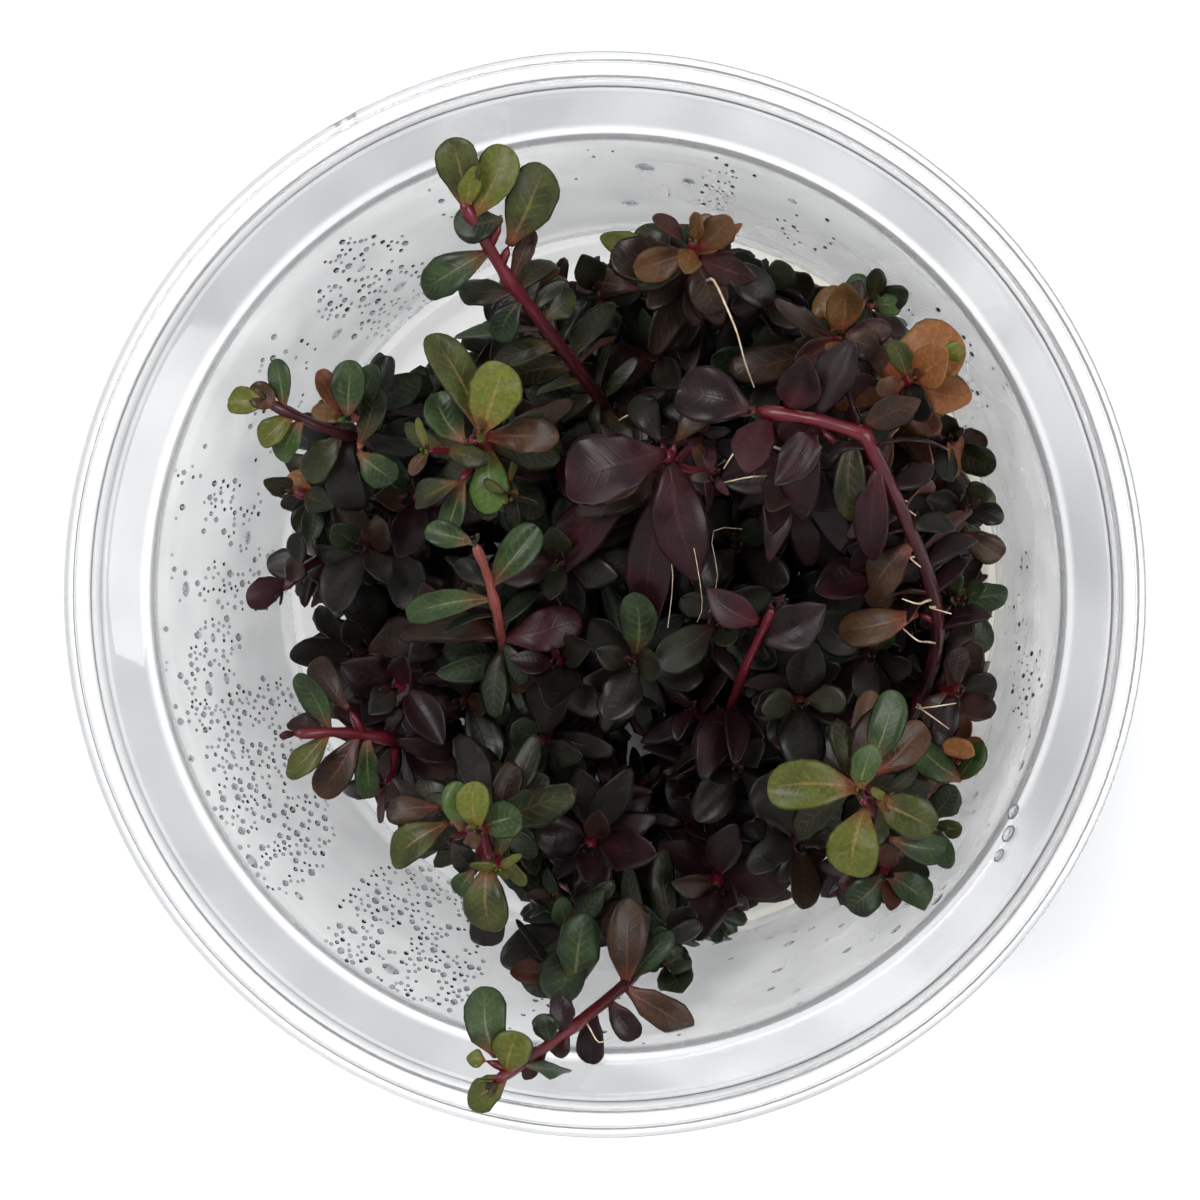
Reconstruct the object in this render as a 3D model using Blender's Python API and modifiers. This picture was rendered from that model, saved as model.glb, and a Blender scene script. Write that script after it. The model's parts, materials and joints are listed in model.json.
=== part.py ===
"""A clear tissue-culture cup with a clump of colorata dwarf rotala rooted in agar gel.

The cup stands on its foot ring at z = 0, centred on the origin, with its mouth up. Seen from above,
+X is to the right and +Y is up the picture. Lengths here are millimetres until a mesh is made.

Each shoot is one grown piece: a four-sided stem with a short ring at each node, and leaves drawn out
of opposite sides of the ring, so that pairs of leaves cross. A leaf that would come too near anything
that already stands is turned, shortened or, at last, left out.
"""

import math
from dataclasses import dataclass

import bmesh
import bpy
from mathutils import Vector
from mathutils.bvhtree import BVHTree

MM = 0.001
GAP = 0.3

# Cup
CUP_HEIGHT = 60.0
LIP_RADIUS = 50.0
LIP_INNER_RADIUS = 47.3
SHOULDER_RADIUS = 46.6
SHOULDER_HEIGHT = 56.8
MOUTH_RADIUS = 42.1
MOUTH_HEIGHT = 54.4
FLOOR_RADIUS = 35.6
FLOOR_CORNER = 1.7
FLOOR_TOP = 2.2
WALL = 1.0
SKIRT_DEPTH = 2.4
SKIRT_WALL = 0.8
LIP_BEVEL = 0.2
MOUTH_BEVEL = (1.1, 0.9)
FOOT_INNER_RADIUS = 32.0
FOOT_BEVEL = 0.8
FOOT_INSET = 0.2
CUP_SIDES = 44

# The moulded nib under the lip
NIB_TURN = 118.4
NIB_SIZE = (2.3, 1.7, 1.6)
NIB_INSET = 0.3
NIB_DROP = 0.4

# Gel
GEL_TOP = 13.0
SOCKET_DEPTH = 7.0

# Stems and leaves
STEM_FOOT = GEL_TOP - SOCKET_DEPTH + GAP
STEM_WIDTH = 1.15
STEM_TAPER = 0.8
TAPER_START = 6.0
TIP_LENGTH = 0.9
ROUTE_PARTS = 6
NODE_HEIGHT = 0.8
NODE_OVER_GEL = 2.5
ONE_BEND = 24.0
TWO_BENDS = 42.0
LEAF_THICK = 0.4
LONG_LEAF = 7.7
LONG_SHAPE = ((0.40, 0.90), (0.36, 0.88))
SHORT_SHAPE = ((0.56, 1.0),)
LEAF_SLENDER = 0.66
CROWN_STEPS = (0.3, 1.9, 4.6, 8.6, 13.4, 18.6)
CROWN_RISES = (48.0, 30.0, 17.0, 8.0, 0.0, -6.0)
CROWN_SPREAD = 0.85
PAIR_SPREAD = 0.05
DROOP = 12.0
SHORTEST_LEAF = 2.4

# Room: how far forms keep apart, and where a crowded stem or leaf is tried next. A try for a leaf is
# its turn, its lift, its scale and its roll
LEAF_ROOM = GAP + 0.06
OWN_ROOM = 0.1
STEM_ROOM = GAP + 0.35
FOOT_MARGIN = 3.0
SPIRAL_TRIES = 240
SPIRAL_STEP = 0.55
TRIES = (
    (0, 0, 1.0, 0),
    (0, 12, 1.0, 12),
    (14, 0, 1.0, -12),
    (-14, 6, 0.95, 18),
    (24, 16, 0.9, 25),
    (-24, 16, 0.9, -25),
    (0, 30, 0.85, 0),
    (0, -18, 0.85, 10),
    (32, 24, 0.75, 30),
    (-32, 24, 0.75, -30),
    (0, 42, 0.62, 0),
    (18, -20, 0.6, 20),
    (-18, -20, 0.6, -20),
    (0, 52, 0.45, 0),
)

# The tips of the shoots that fill the clump, and how far in their feet stand
LOW_TIPS = (
    (-20.0, 10.0, 40.0),
    (-25.4, 3.4, 41.0),
    (-26.5, -6.5, 34.0),
    (-21.3, -9.4, 42.0),
    (-15.5, -11.0, 37.0),
    (-7.6, -14.7, 40.0),
    (25.0, 1.5, 44.0),
    (24.5, -6.0, 42.0),
    (17.5, -24.5, 40.0),
    (9.4, -28.8, 36.0),
    (4.0, 23.0, 42.0),
    (15.0, 21.0, 43.0),
    (-6.0, 13.0, 44.0),
    (2.0, -6.6, 46.0),
    (10.0, -2.8, 44.0),
    (-2.6, -24.4, 42.0),
    (10.6, -16.4, 40.0),
    (18.0, -10.4, 46.0),
    (-16.4, -2.8, 40.0),
    (-5.0, 3.0, 46.0),
    (11.5, 4.5, 39.0),
    (-5.6, -6.6, 43.0),
)
LOW_LEAVES = (5.2, 7.5, 7.7)
LOW_SPLAY = 0.86
GOLDEN_TURN = 137.508

GREEN = (0.10, 0.16, 0.07)
OLIVE = (0.20, 0.24, 0.06)
DARK = (0.03, 0.05, 0.035)
BROWN = (0.20, 0.11, 0.06)
MAROON = (0.12, 0.02, 0.03)
BURGUNDY = (0.09, 0.03, 0.045)
ORANGE = (0.45, 0.20, 0.06)


@dataclass(frozen=True)
class Shoot:
    """One stem: its route from the gel to its tip, its colour, and its leaf pairs from the tip down.

    A pair is two leaves, each by the way that it points, in degrees from +X seen from above, and
    its length.
    """

    name: str
    route: tuple
    colour: tuple
    pairs: tuple
    width: float = STEM_WIDTH


def crossed(turn, lengths, skew=8.0):
    """Pairs of equal leaves, each pair at right angles to the one above."""
    pairs = []
    for level, length in enumerate(lengths):
        way = turn + 90.0 * level
        pairs.append((way + skew, length, way + 180.0 - skew, length * 0.92))
    return tuple(pairs)


PLACED_SHOOTS = (
    Shoot(
        "tall_left",
        ((0, 11.5, 13), (-0.5, 17, 40), (-5.5, 24.5, 55), (-9.5, 31.5, 63), (-11.5, 35.5, 66.5)),
        OLIVE,
        ((107, 6.7, 345, 4.0), (60, 5.2, 215, 6.8), (57, 8.4, 200, 4.8), (75, 5.0, 185, 4.4)),
        1.3,
    ),
    Shoot(
        "left",
        ((-18, 10.5, 13), (-22, 15, 36), (-25.8, 15.1, 46), (-30, 17, 50.5), (-31.8, 17.9, 52)),
        DARK,
        ((100, 4.4, 175, 4.0), (235, 3.8, 60, 3.0), (240, 4.6, 75, 3.4), (235, 5.4, 60, 5.0)),
    ),
    Shoot(
        "left_crown",
        ((-20, 14.5, 13), (-22.8, 17.6, 38), (-24.3, 16.6, 51)),
        GREEN,
        ((120, 4.2, 300, 4.0), (60, 5.6, 225, 5.0), (20, 6.0, 170, 5.0), (270, 6.0, 95, 6.0)),
    ),
    Shoot(
        "high_left",
        ((-11.5, 10.5, 13), (-11.5, 13.5, 45), (-10.5, 15, 62)),
        OLIVE,
        ((63, 5.6, 247, 5.2), (117, 9.6, 295, 6.4), (150, 5.4, 277, 7.8), (10, 6.4, 190, 5.4)),
        1.3,
    ),
    Shoot(
        "pink",
        ((-10, -12, 13), (-11, -9, 32), (-10.5, -4.5, 45), (-11, 1.5, 53), (-11.5, 4.5, 58)),
        GREEN,
        ((50, 6.4, 225, 4.0), (190, 7.8, 20, 4.4), (60, 6.6, 250, 6.0), (110, 6.4, 330, 6.0)),
        1.4,
    ),
    Shoot(
        "left_amber",
        ((-20, 5.5, 13), (-23.5, 8, 26), (-27, 8.5, 34), (-31.5, 9.5, 39)),
        OLIVE,
        ((160, 4.4, 340, 4.6), (85, 4.0, 265, 4.4), (200, 5.0, 20, 5.4)),
    ),
    Shoot(
        "left_pointed",
        ((-22, 1.5, 13), (-27.5, 3.5, 28), (-31, 2.5, 34), (-33.2, 0.2, 36)),
        DARK,
        ((205, 5.4, 50, 4.2), (245, 4.4, 90, 4.4), (180, 5.6, 10, 5.0)),
    ),
    Shoot(
        "left_low",
        ((-17, -19, 13), (-21, -15, 38), (-26, -13.5, 45), (-30, -13.5, 47.5)),
        MAROON,
        ((150, 3.0, 238, 4.8), (105, 4.6, 255, 6.6), (88, 4.6, 272, 5.6), (70, 6.4, 262, 5.8)),
    ),
    Shoot(
        "high_bottom",
        ((-10, -21, 13), (-11.5, -21.5, 42), (-11, -21.5, 60)),
        OLIVE,
        ((120, 4.6, 345, 5.0), (203, 8.4, 40, 5.0), (277, 8.8, 95, 5.6), (160, 7.6, 0, 5.6)),
        1.3,
    ),
    Shoot(
        "over_rim",
        (
            (0, -31, 13),
            (2.6, -35.6, 42),
            (2.1, -37.1, 55),
            (-1.7, -39.2, 60),
            (-4.9, -41.4, 63),
            (-8.5, -43.7, 66),
        ),
        OLIVE,
        ((95, 6.2, 210, 5.2), (15, 6.0, 165, 3.0), (60, 4.2, 240, 3.4), (120, 4.0, 300, 4.0)),
        1.5,
    ),
    Shoot(
        "hanging",
        ((-4.4, -28.6, 13), (-4.2, -31.2, 34), (-4, -32.8, 46)),
        GREEN,
        ((275, 8.0, 100, 4.6), (245, 8.2, 55, 4.6), (215, 8.6, 20, 5.0)),
    ),
    Shoot(
        "bottom_right",
        ((5, -29, 13), (5.2, -33.4, 32), (5, -35.6, 43)),
        GREEN,
        ((20, 3.8, 200, 3.6), (302, 7.6, 112, 4.2), (255, 5.6, 55, 5.0)),
    ),
    Shoot(
        "high_right",
        ((19, -16, 13), (22.5, -17.5, 42), (24, -17.5, 61)),
        OLIVE,
        ((340, 5.6, 150, 4.4), (85, 8.8, 265, 8.2), (175, 8.2, 350, 6.6), (45, 7.0, 225, 5.6)),
        1.3,
    ),
    Shoot(
        "right_low",
        ((22, -25, 13), (25.4, -26, 40), (26.2, -26.2, 51)),
        MAROON,
        ((90, 3.8, 270, 3.8), (185, 4.8, 5, 4.6), (30, 5.4, 215, 5.2)),
    ),
    Shoot(
        "right_low_edge",
        ((26, -20, 13), (29.4, -21.6, 40), (30.6, -21.6, 49)),
        GREEN,
        ((0, 3.4, 180, 3.4), (300, 4.6, 120, 4.2), (50, 4.8, 230, 4.6)),
    ),
    Shoot(
        "right_amber",
        ((26.5, -14.5, 13), (31.2, -15.5, 36), (32.6, -15.5, 44)),
        ORANGE,
        ((300, 3.4, 120, 3.4), (20, 3.8, 200, 4.2), (70, 4.4, 250, 4.4)),
    ),
    Shoot(
        "right_maroon",
        ((27, -8.5, 13), (31.8, -9.5, 40), (33, -9, 50)),
        MAROON,
        ((330, 5.0, 150, 4.6), (75, 3.8, 255, 4.2), (20, 4.2, 200, 4.8)),
    ),
    Shoot(
        "right_mid",
        ((26.5, -2.5, 13), (31.6, -1, 38), (33, -0.5, 47)),
        DARK,
        ((15, 4.6, 195, 3.8), (100, 3.8, 280, 4.2), (50, 4.2, 230, 4.6)),
    ),
    Shoot(
        "right_upper",
        ((25.5, 5.5, 13), (32, 7.8, 38), (33.8, 8.2, 46)),
        DARK,
        ((50, 4.2, 230, 4.2), (340, 4.4, 160, 4.4), (90, 4.6, 270, 4.6)),
    ),
    Shoot(
        "orange",
        ((22, 14.5, 13), (26, 18, 46), (28.5, 20, 58)),
        ORANGE,
        ((35, 7.4, 210, 3.8), (350, 7.0, 110, 4.0), (60, 5.6, 240, 5.0)),
    ),
    Shoot(
        "right_back",
        ((26.6, 11, 13), (30.8, 13.5, 36), (32.2, 14.5, 43)),
        BROWN,
        ((270, 4.6, 90, 4.6), (330, 5.0, 150, 4.6), (20, 4.8, 210, 4.8)),
    ),
    Shoot(
        "top_right",
        ((19, 22, 13), (23.5, 26.5, 38), (24.5, 27.5, 46)),
        GREEN,
        ((75, 3.8, 255, 4.0), (10, 5.0, 190, 4.4), (330, 5.0, 150, 4.8)),
    ),
    Shoot(
        "top_brown",
        ((16.5, 19, 13), (21, 23.5, 44), (22, 24, 54)),
        BROWN,
        ((95, 6.8, 275, 5.4), (15, 5.0, 200, 5.4), (60, 5.6, 240, 5.6)),
    ),
    Shoot(
        "top_crown",
        ((6.5, 25, 13), (8, 30.5, 46), (8.5, 32.5, 57)),
        BROWN,
        ((70, 3.6, 250, 3.8), (30, 5.6, 200, 6.2), (178, 7.8, 345, 5.6), (120, 4.6, 300, 5.6)),
    ),
    Shoot(
        "top_left",
        ((-2, 24, 13), (-1.5, 27.5, 38), (-1.5, 28.5, 45)),
        DARK,
        ((110, 5.0, 290, 4.8), (190, 5.6, 10, 4.8), (60, 5.0, 240, 5.6)),
    ),
    Shoot(
        "top_left_low",
        ((-8.5, 21, 13), (-9, 25, 34), (-9.5, 26, 40)),
        DARK,
        ((140, 4.8, 320, 4.6), (60, 4.8, 235, 5.0), (175, 5.0, 0, 5.0)),
    ),
    Shoot(
        "top_mid",
        ((11.5, 24, 13), (13.5, 28, 38), (14.5, 28.5, 47)),
        DARK,
        ((40, 4.8, 220, 4.8), (310, 5.0, 130, 4.6), (5, 5.6, 185, 5.2)),
    ),
    Shoot(
        "centre",
        ((4, 1.5, 13), (5.5, 10.5, 44), (6, 13, 56)),
        BURGUNDY,
        ((185, 8.6, 0, 5.6), (275, 11.0, 95, 5.6), (235, 11.0, 60, 6.4), (305, 10.0, 130, 6.4)),
        1.5,
    ),
    Shoot(
        "centre_right",
        ((15.5, 4.5, 13), (17.5, 11, 44), (17.5, 13, 54)),
        BURGUNDY,
        ((255, 7.0, 80, 5.4), (305, 7.4, 125, 5.6), (200, 7.0, 20, 6.0)),
    ),
    Shoot(
        "arch",
        (
            (24.5, -25, 13),
            (29, -12, 34),
            (31, 0.5, 50),
            (29.5, 8, 56),
            (26.5, 13.5, 60),
            (21.5, 15.8, 60.5),
            (15, 17, 59.5),
        ),
        BURGUNDY,
        ((250, 6.8, 100, 4.8), (285, 7.6, 85, 7.4), (245, 8.0, 75, 7.4), (235, 7.0, 15, 6.0)),
        1.6,
    ),
    Shoot(
        "leaning",
        ((3.5, -25, 13), (7, -21, 24), (9, -15.5, 33), (12, -8.5, 43), (15.5, -1.5, 52)),
        BURGUNDY,
        ((60, 6.0, 240, 5.6), (330, 6.8, 150, 6.4), (20, 7.2, 200, 6.6), (90, 6.0, 270, 6.0)),
        1.4,
    ),
)


def low_shoots():
    """Lower shoots through the clump, with their leaves in a plain cross."""
    shoots = []
    for index, tip in enumerate(LOW_TIPS):
        foot = (tip[0] * LOW_SPLAY, tip[1] * LOW_SPLAY, GEL_TOP)
        colour = DARK if index % 3 else BURGUNDY
        pairs = crossed(GOLDEN_TURN * index, LOW_LEAVES)
        shoots.append(Shoot(f"low_{index + 1:02d}", (foot, tip), colour, pairs))
    return tuple(shoots)


def clear_scene():
    """Empties the file of what it starts with."""
    for obj in list(bpy.data.objects):
        bpy.data.objects.remove(obj)


def collection_named(name, hidden=False):
    """A new collection in the scene."""
    made = bpy.data.collections.new(name)
    made.hide_render = hidden
    bpy.context.scene.collection.children.link(made)
    return made


def material(name, colour, roughness, transmission=0.0):
    """A Principled material."""
    made = bpy.data.materials.new(name)
    made.use_nodes = True
    shader = made.node_tree.nodes["Principled BSDF"]
    shader.inputs["Base Color"].default_value = (*colour, 1.0)
    shader.inputs["Roughness"].default_value = roughness
    shader.inputs["Metallic"].default_value = 0.0
    shader.inputs["Transmission Weight"].default_value = transmission
    return made


def mesh_object(name, bm, collection, finish=None):
    """An object from a bmesh in millimetres."""
    bmesh.ops.scale(bm, vec=(MM, MM, MM), verts=bm.verts)
    mesh = bpy.data.meshes.new(name)
    bm.to_mesh(mesh)
    bm.free()
    if finish:
        mesh.materials.append(finish)
    obj = bpy.data.objects.new(name, mesh)
    collection.objects.link(obj)
    return obj


def turned(name, profile, collection, finish):
    """A solid of revolution about Z from its profile, which starts and ends on the axis."""
    bm = bmesh.new()
    points = [bm.verts.new((radius, 0.0, height)) for radius, height in profile]
    for start, end in zip(points, points[1:]):
        bm.edges.new((start, end))
    obj = mesh_object(name, bm, collection, finish)
    screw = obj.modifiers.new("Turn", "SCREW")
    screw.axis = "Z"
    screw.steps = CUP_SIDES
    screw.render_steps = CUP_SIDES
    screw.use_merge_vertices = True
    screw.merge_threshold = 0.00001
    return obj


def cup_profile():
    """The cup's section, from the middle of the floor up the inside, over the lip and down the outside."""
    lip_under = CUP_HEIGHT - WALL - LIP_BEVEL
    skirt_foot = CUP_HEIGHT - SKIRT_DEPTH
    mouth_out, mouth_up = MOUTH_BEVEL
    return (
        (0.0, FLOOR_TOP),
        (FLOOR_RADIUS - FLOOR_CORNER, FLOOR_TOP),
        (FLOOR_RADIUS, FLOOR_TOP + FLOOR_CORNER),
        (MOUTH_RADIUS, MOUTH_HEIGHT),
        (MOUTH_RADIUS + mouth_out, MOUTH_HEIGHT + mouth_up),
        (SHOULDER_RADIUS, SHOULDER_HEIGHT),
        (LIP_INNER_RADIUS, CUP_HEIGHT),
        (LIP_RADIUS - LIP_BEVEL, CUP_HEIGHT),
        (LIP_RADIUS, CUP_HEIGHT - LIP_BEVEL),
        (LIP_RADIUS, skirt_foot),
        (LIP_RADIUS - SKIRT_WALL, skirt_foot),
        (LIP_RADIUS - SKIRT_WALL - LIP_BEVEL / 2, lip_under),
        (LIP_INNER_RADIUS + SKIRT_WALL, lip_under),
        (SHOULDER_RADIUS + mouth_up, SHOULDER_HEIGHT - WALL),
        (MOUTH_RADIUS + WALL + LIP_BEVEL, MOUTH_HEIGHT - mouth_up),
        (FLOOR_RADIUS + WALL - FOOT_INSET, FLOOR_TOP),
        (FLOOR_RADIUS - FOOT_INSET, 0.0),
        (FOOT_INNER_RADIUS, 0.0),
        (FOOT_INNER_RADIUS - FOOT_BEVEL, WALL),
        (0.0, WALL),
    )


def add_nib(cup, cutters):
    """The small moulded nib, joined to the lip's skirt."""
    bm = bmesh.new()
    bmesh.ops.create_cube(bm, size=1.0)
    bmesh.ops.scale(bm, vec=NIB_SIZE, verts=bm.verts)
    nib = mesh_object("nib_form", bm, cutters)
    nib.rotation_euler.z = math.radians(NIB_TURN + 90.0)
    turn = math.radians(NIB_TURN)
    reach = LIP_RADIUS - NIB_INSET - NIB_SIZE[1] / 2
    height = CUP_HEIGHT - SKIRT_DEPTH - NIB_DROP
    nib.location = Vector((reach * math.cos(turn), reach * math.sin(turn), height)) * MM
    nib.hide_render = True
    nib.display_type = "WIRE"
    join = cup.modifiers.new("Nib", "BOOLEAN")
    join.operation = "UNION"
    join.solver = "EXACT"
    join.object = nib


def gel_profile():
    """The gel's section, clear of the cup by the gap."""
    slope = (MOUTH_RADIUS - FLOOR_RADIUS) / (MOUTH_HEIGHT - FLOOR_TOP - FLOOR_CORNER)
    top_radius = FLOOR_RADIUS + slope * (GEL_TOP - FLOOR_TOP - FLOOR_CORNER) - GAP
    return (
        (0.0, GEL_TOP),
        (top_radius, GEL_TOP),
        (FLOOR_RADIUS - GAP, FLOOR_TOP + FLOOR_CORNER + GAP),
        (FLOOR_RADIUS - FLOOR_CORNER - GAP, FLOOR_TOP + GAP),
        (0.0, FLOOR_TOP + GAP),
    )


def along(route, distance):
    """The point and direction at a distance from the start of a route of points."""
    left = distance
    for start, end in zip(route, route[1:]):
        step = end - start
        if left <= step.length or end is route[-1]:
            return start + step.normalized() * left, step.normalized()
        left -= step.length
    return route[-1], Vector((0, 0, 1))


def smooth_route(points):
    """A Catmull-Rom curve through the points, straight down into the gel at its foot."""
    ends = [Vector(points[0]) * 2 - Vector(points[1])]
    ends += [Vector(point) for point in points]
    ends.append(ends[-1] * 2 - ends[-2])
    curve = [Vector((points[0][0], points[0][1], STEM_FOOT))]
    for index in range(1, len(ends) - 2):
        before, start, end, after = ends[index - 1 : index + 3]
        for part in range(ROUTE_PARTS):
            t = part / ROUTE_PARTS
            curve.append(
                0.5
                * (
                    2 * start
                    + (end - before) * t
                    + (2 * before - 5 * start + 4 * end - after) * t**2
                    + (3 * start - before - 3 * end + after) * t**3
                )
            )
    curve.append(ends[-2])
    return curve


def route_length(route):
    """The length along a route."""
    return sum((end - start).length for start, end in zip(route, route[1:]))


def toward(way, rise):
    """The unit direction at this compass way and rise, both in degrees."""
    turn = math.radians(way)
    lift = math.radians(rise)
    return Vector((math.cos(turn) * math.cos(lift), math.sin(turn) * math.cos(lift), math.sin(lift)))


def square(centre, side, other, width, thick):
    """The four corners of a flat section, turning right-handed about side x other."""
    half_side = side * width / 2
    half_other = other * thick / 2
    return [
        centre + half_side + half_other,
        centre - half_side + half_other,
        centre - half_side - half_other,
        centre + half_side - half_other,
    ]


def matched(corners, reference):
    """The corners in the order that lies nearest to the reference's, so that a piece doesn't twist."""
    orders = [corners[shift:] + corners[:shift] for shift in range(4)]
    return min(orders, key=lambda order: sum((a - b).length for a, b in zip(order, reference)))


def ring_at(route, distance, way, width):
    """A stem's square section, with one side facing the way of a leaf."""
    centre, axis = along(route, distance)
    side = toward(way, 0.0)
    side = side - axis * side.dot(axis)
    if side.length < 0.2:
        side = Vector((0, 0, 1)) - axis * axis.z
    side.normalize()
    return square(centre, side, axis.cross(side), width, width)


def stem_rings(shoot, route):
    """The stem's sections from its foot up, and the index of the section below each node.

    A plain section or two bend a long stem where no leaf grows.
    """
    length = route_length(route)
    nodes = []
    spread = CROWN_SPREAD + PAIR_SPREAD * len(shoot.pairs)
    for step, pair in zip(CROWN_STEPS, shoot.pairs):
        distance = length - step * spread - NODE_HEIGHT
        if distance > SOCKET_DEPTH + NODE_OVER_GEL:
            nodes.append((distance, pair))
    lowest = nodes[-1][0]
    bends = 2 if lowest > TWO_BENDS else 1 if lowest > ONE_BEND else 0
    plain = [lowest * step / (bends + 1) for step in range(bends + 1)]
    way = nodes[-1][1][0]
    rings = [ring_at(route, distance, way, shoot.width) for distance in plain]
    lower = []
    for distance, pair in reversed(nodes):
        taper = 1.0 if distance < length - TAPER_START else STEM_TAPER
        lower.append(len(rings))
        rings.append(ring_at(route, distance, pair[0], shoot.width * taper))
        rings.append(ring_at(route, distance + NODE_HEIGHT, pair[0], shoot.width * taper))
    for index in range(1, len(rings)):
        rings[index] = matched(rings[index], rings[index - 1])
    return rings, lower[::-1]


def prism(rings, tip=None):
    """Points and four-sided faces of a loft through the rings, for a clearance test."""
    points = [point for ring in rings for point in ring]
    faces = []
    for level in range(len(rings) - 1):
        for corner in range(4):
            low = level * 4 + corner
            low_next = level * 4 + (corner + 1) % 4
            faces.append((low, low_next, low_next + 4, low + 4))
    if tip is not None:
        points.append(tip)
        top = len(rings) * 4 - 4
        faces += [(top + corner, top + (corner + 1) % 4, len(points) - 1) for corner in range(4)]
    return points, faces


class Obstacles:
    """What already stands, as search trees with their boxes."""

    def __init__(self):
        self.trees = []

    def add(self, points, faces):
        """Adds a surface."""
        low = [min(point[axis] for point in points) for axis in range(3)]
        high = [max(point[axis] for point in points) for axis in range(3)]
        self.trees.append((low, high, BVHTree.FromPolygons(points, faces)))

    def meets(self, points, faces):
        """Whether a surface crosses anything here."""
        low = [min(point[axis] for point in points) for axis in range(3)]
        high = [max(point[axis] for point in points) for axis in range(3)]
        tree = None
        for other_low, other_high, other in self.trees:
            apart = any(low[i] > other_high[i] or high[i] < other_low[i] for i in range(3))
            if apart:
                continue
            tree = tree or BVHTree.FromPolygons(points, faces)
            if tree.overlap(other):
                return True
        return False


@dataclass
class Leaf:
    """A leaf's two sections and its tip, and the face of the node that it grows from."""

    face: list
    sections: list
    tip: Vector

    def outer(self):
        """The blade past its first section, which its own shoot must leave free."""
        return prism(self.sections, self.tip)

    def whole(self):
        """The blade from its stem."""
        return prism([self.face, *self.sections], self.tip)


def leaf_form(face, way, rise, length, roll, more=0.0):
    """A blade drawn out of a node's face, thickened by more all round."""
    base = sum(face, Vector()) / 4
    width = length * LEAF_SLENDER
    thick = LEAF_THICK + 2 * more
    shape = LONG_SHAPE if length > LONG_LEAF or more else SHORT_SHAPE
    across = Vector((-math.sin(math.radians(way)), math.cos(math.radians(way)), 0.0))
    tilt = math.radians(roll)
    centre = base
    sections = []
    for step, (reach, breadth) in enumerate(shape):
        ahead = toward(way, rise - DROOP * step)
        centre = centre + ahead * (length * reach)
        side = across * math.cos(tilt) + ahead.cross(across) * math.sin(tilt)
        corners = square(centre, side, ahead.cross(side), width * breadth + 2 * more, thick)
        sections.append(matched(corners, face if not sections else sections[-1]))
    rest = 1.0 - sum(reach for reach, _ in shape)
    ahead = toward(way, rise - DROOP * len(shape))
    tip = centre + ahead * (length * rest + more)
    if more:
        middle = base + outward(face) * OWN_ROOM
        face = [middle + (corner - base) * (1 + 2 * more) for corner in face]
    return Leaf(face, sections, tip)


def node_faces(lower, upper):
    """The four sides of a node, each as its corners, seen from outside, and its outward direction."""
    faces = []
    for corner in range(4):
        ahead = (corner + 1) % 4
        faces.append([lower[corner], lower[ahead], upper[ahead], upper[corner]])
    return faces


def outward(face):
    """The direction that a face looks."""
    return (face[1] - face[0]).cross(face[2] - face[1]).normalized()


def grow_leaf(face, way, rise, length, others, own):
    """The first form of a leaf that is clear of everything, or None."""
    for turn, lift, scale, roll in TRIES:
        size = max(length * scale, SHORTEST_LEAF)
        roomy = leaf_form(face, way + turn, rise + lift, size, roll, LEAF_ROOM)
        if others.meets(*roomy.whole()):
            continue
        close = leaf_form(face, way + turn, rise + lift, size, roll, OWN_ROOM)
        if own.meets(*close.outer()):
            continue
        return leaf_form(face, way + turn, rise + lift, size, roll)
    return None


def place_stems(shoots, standing):
    """Each shoot's sections, its foot moved round a growing spiral until the stem stands free."""
    placed = []
    for shoot in shoots:
        points = [Vector(point) for point in shoot.route]
        moves_whole = shoot.name.startswith("low_")
        for attempt in range(SPIRAL_TRIES):
            turn = math.radians(GOLDEN_TURN * attempt)
            reach = SPIRAL_STEP * math.sqrt(attempt)
            shift = Vector((reach * math.cos(turn), reach * math.sin(turn), 0.0))
            moved = [points[0] + shift] + [p + shift if moves_whole else p for p in points[1:]]
            if moved[0].xy.length > FLOOR_RADIUS - FOOT_MARGIN:
                continue
            route = smooth_route(moved)
            rings, lower = stem_rings(shoot, route)
            roomy = [widened(ring, STEM_ROOM) for ring in rings]
            top = route[-1] + (route[-1] - route[-2]).normalized() * TIP_LENGTH
            if standing.meets(*prism(roomy, top)):
                continue
            standing.add(*prism(rings, top))
            placed.append((shoot, rings, lower, top))
            break
    return placed


def widened(ring, more):
    """A ring's corners moved out from its middle."""
    middle = sum(ring, Vector()) / 4
    return [corner + (corner - middle).normalized() * more * math.sqrt(2) for corner in ring]


def grow_leaves(placed, fixed):
    """Every shoot's leaves, the topmost pairs of all shoots first, so that the crowns are whole."""
    bodies = []
    for _, rings, _, top in placed:
        body = Obstacles()
        body.add(*prism(rings, top))
        bodies.append(body)
    leaves = [[] for _ in placed]
    for level in range(len(CROWN_STEPS)):
        for index, (shoot, rings, lower, _) in enumerate(placed):
            if level >= len(lower):
                continue
            others = Obstacles()
            others.trees = [tree for n, body in enumerate(bodies) if n != index for tree in body.trees]
            others.trees += fixed.trees
            low = lower[level]
            faces = node_faces(rings[low], rings[low + 1])
            way_a, length_a, way_b, length_b = shoot.pairs[level]
            for way, length in ((way_a, length_a), (way_b, length_b)):
                face = max(faces, key=lambda f: outward(f).dot(toward(way, CROWN_RISES[level] / 2)))
                leaf = grow_leaf(face, way, CROWN_RISES[level], length, others, bodies[index])
                if leaf is None:
                    continue
                faces.remove(face)
                bodies[index].add(*leaf.whole())
                leaves[index].append((low, leaf))
    return leaves


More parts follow.
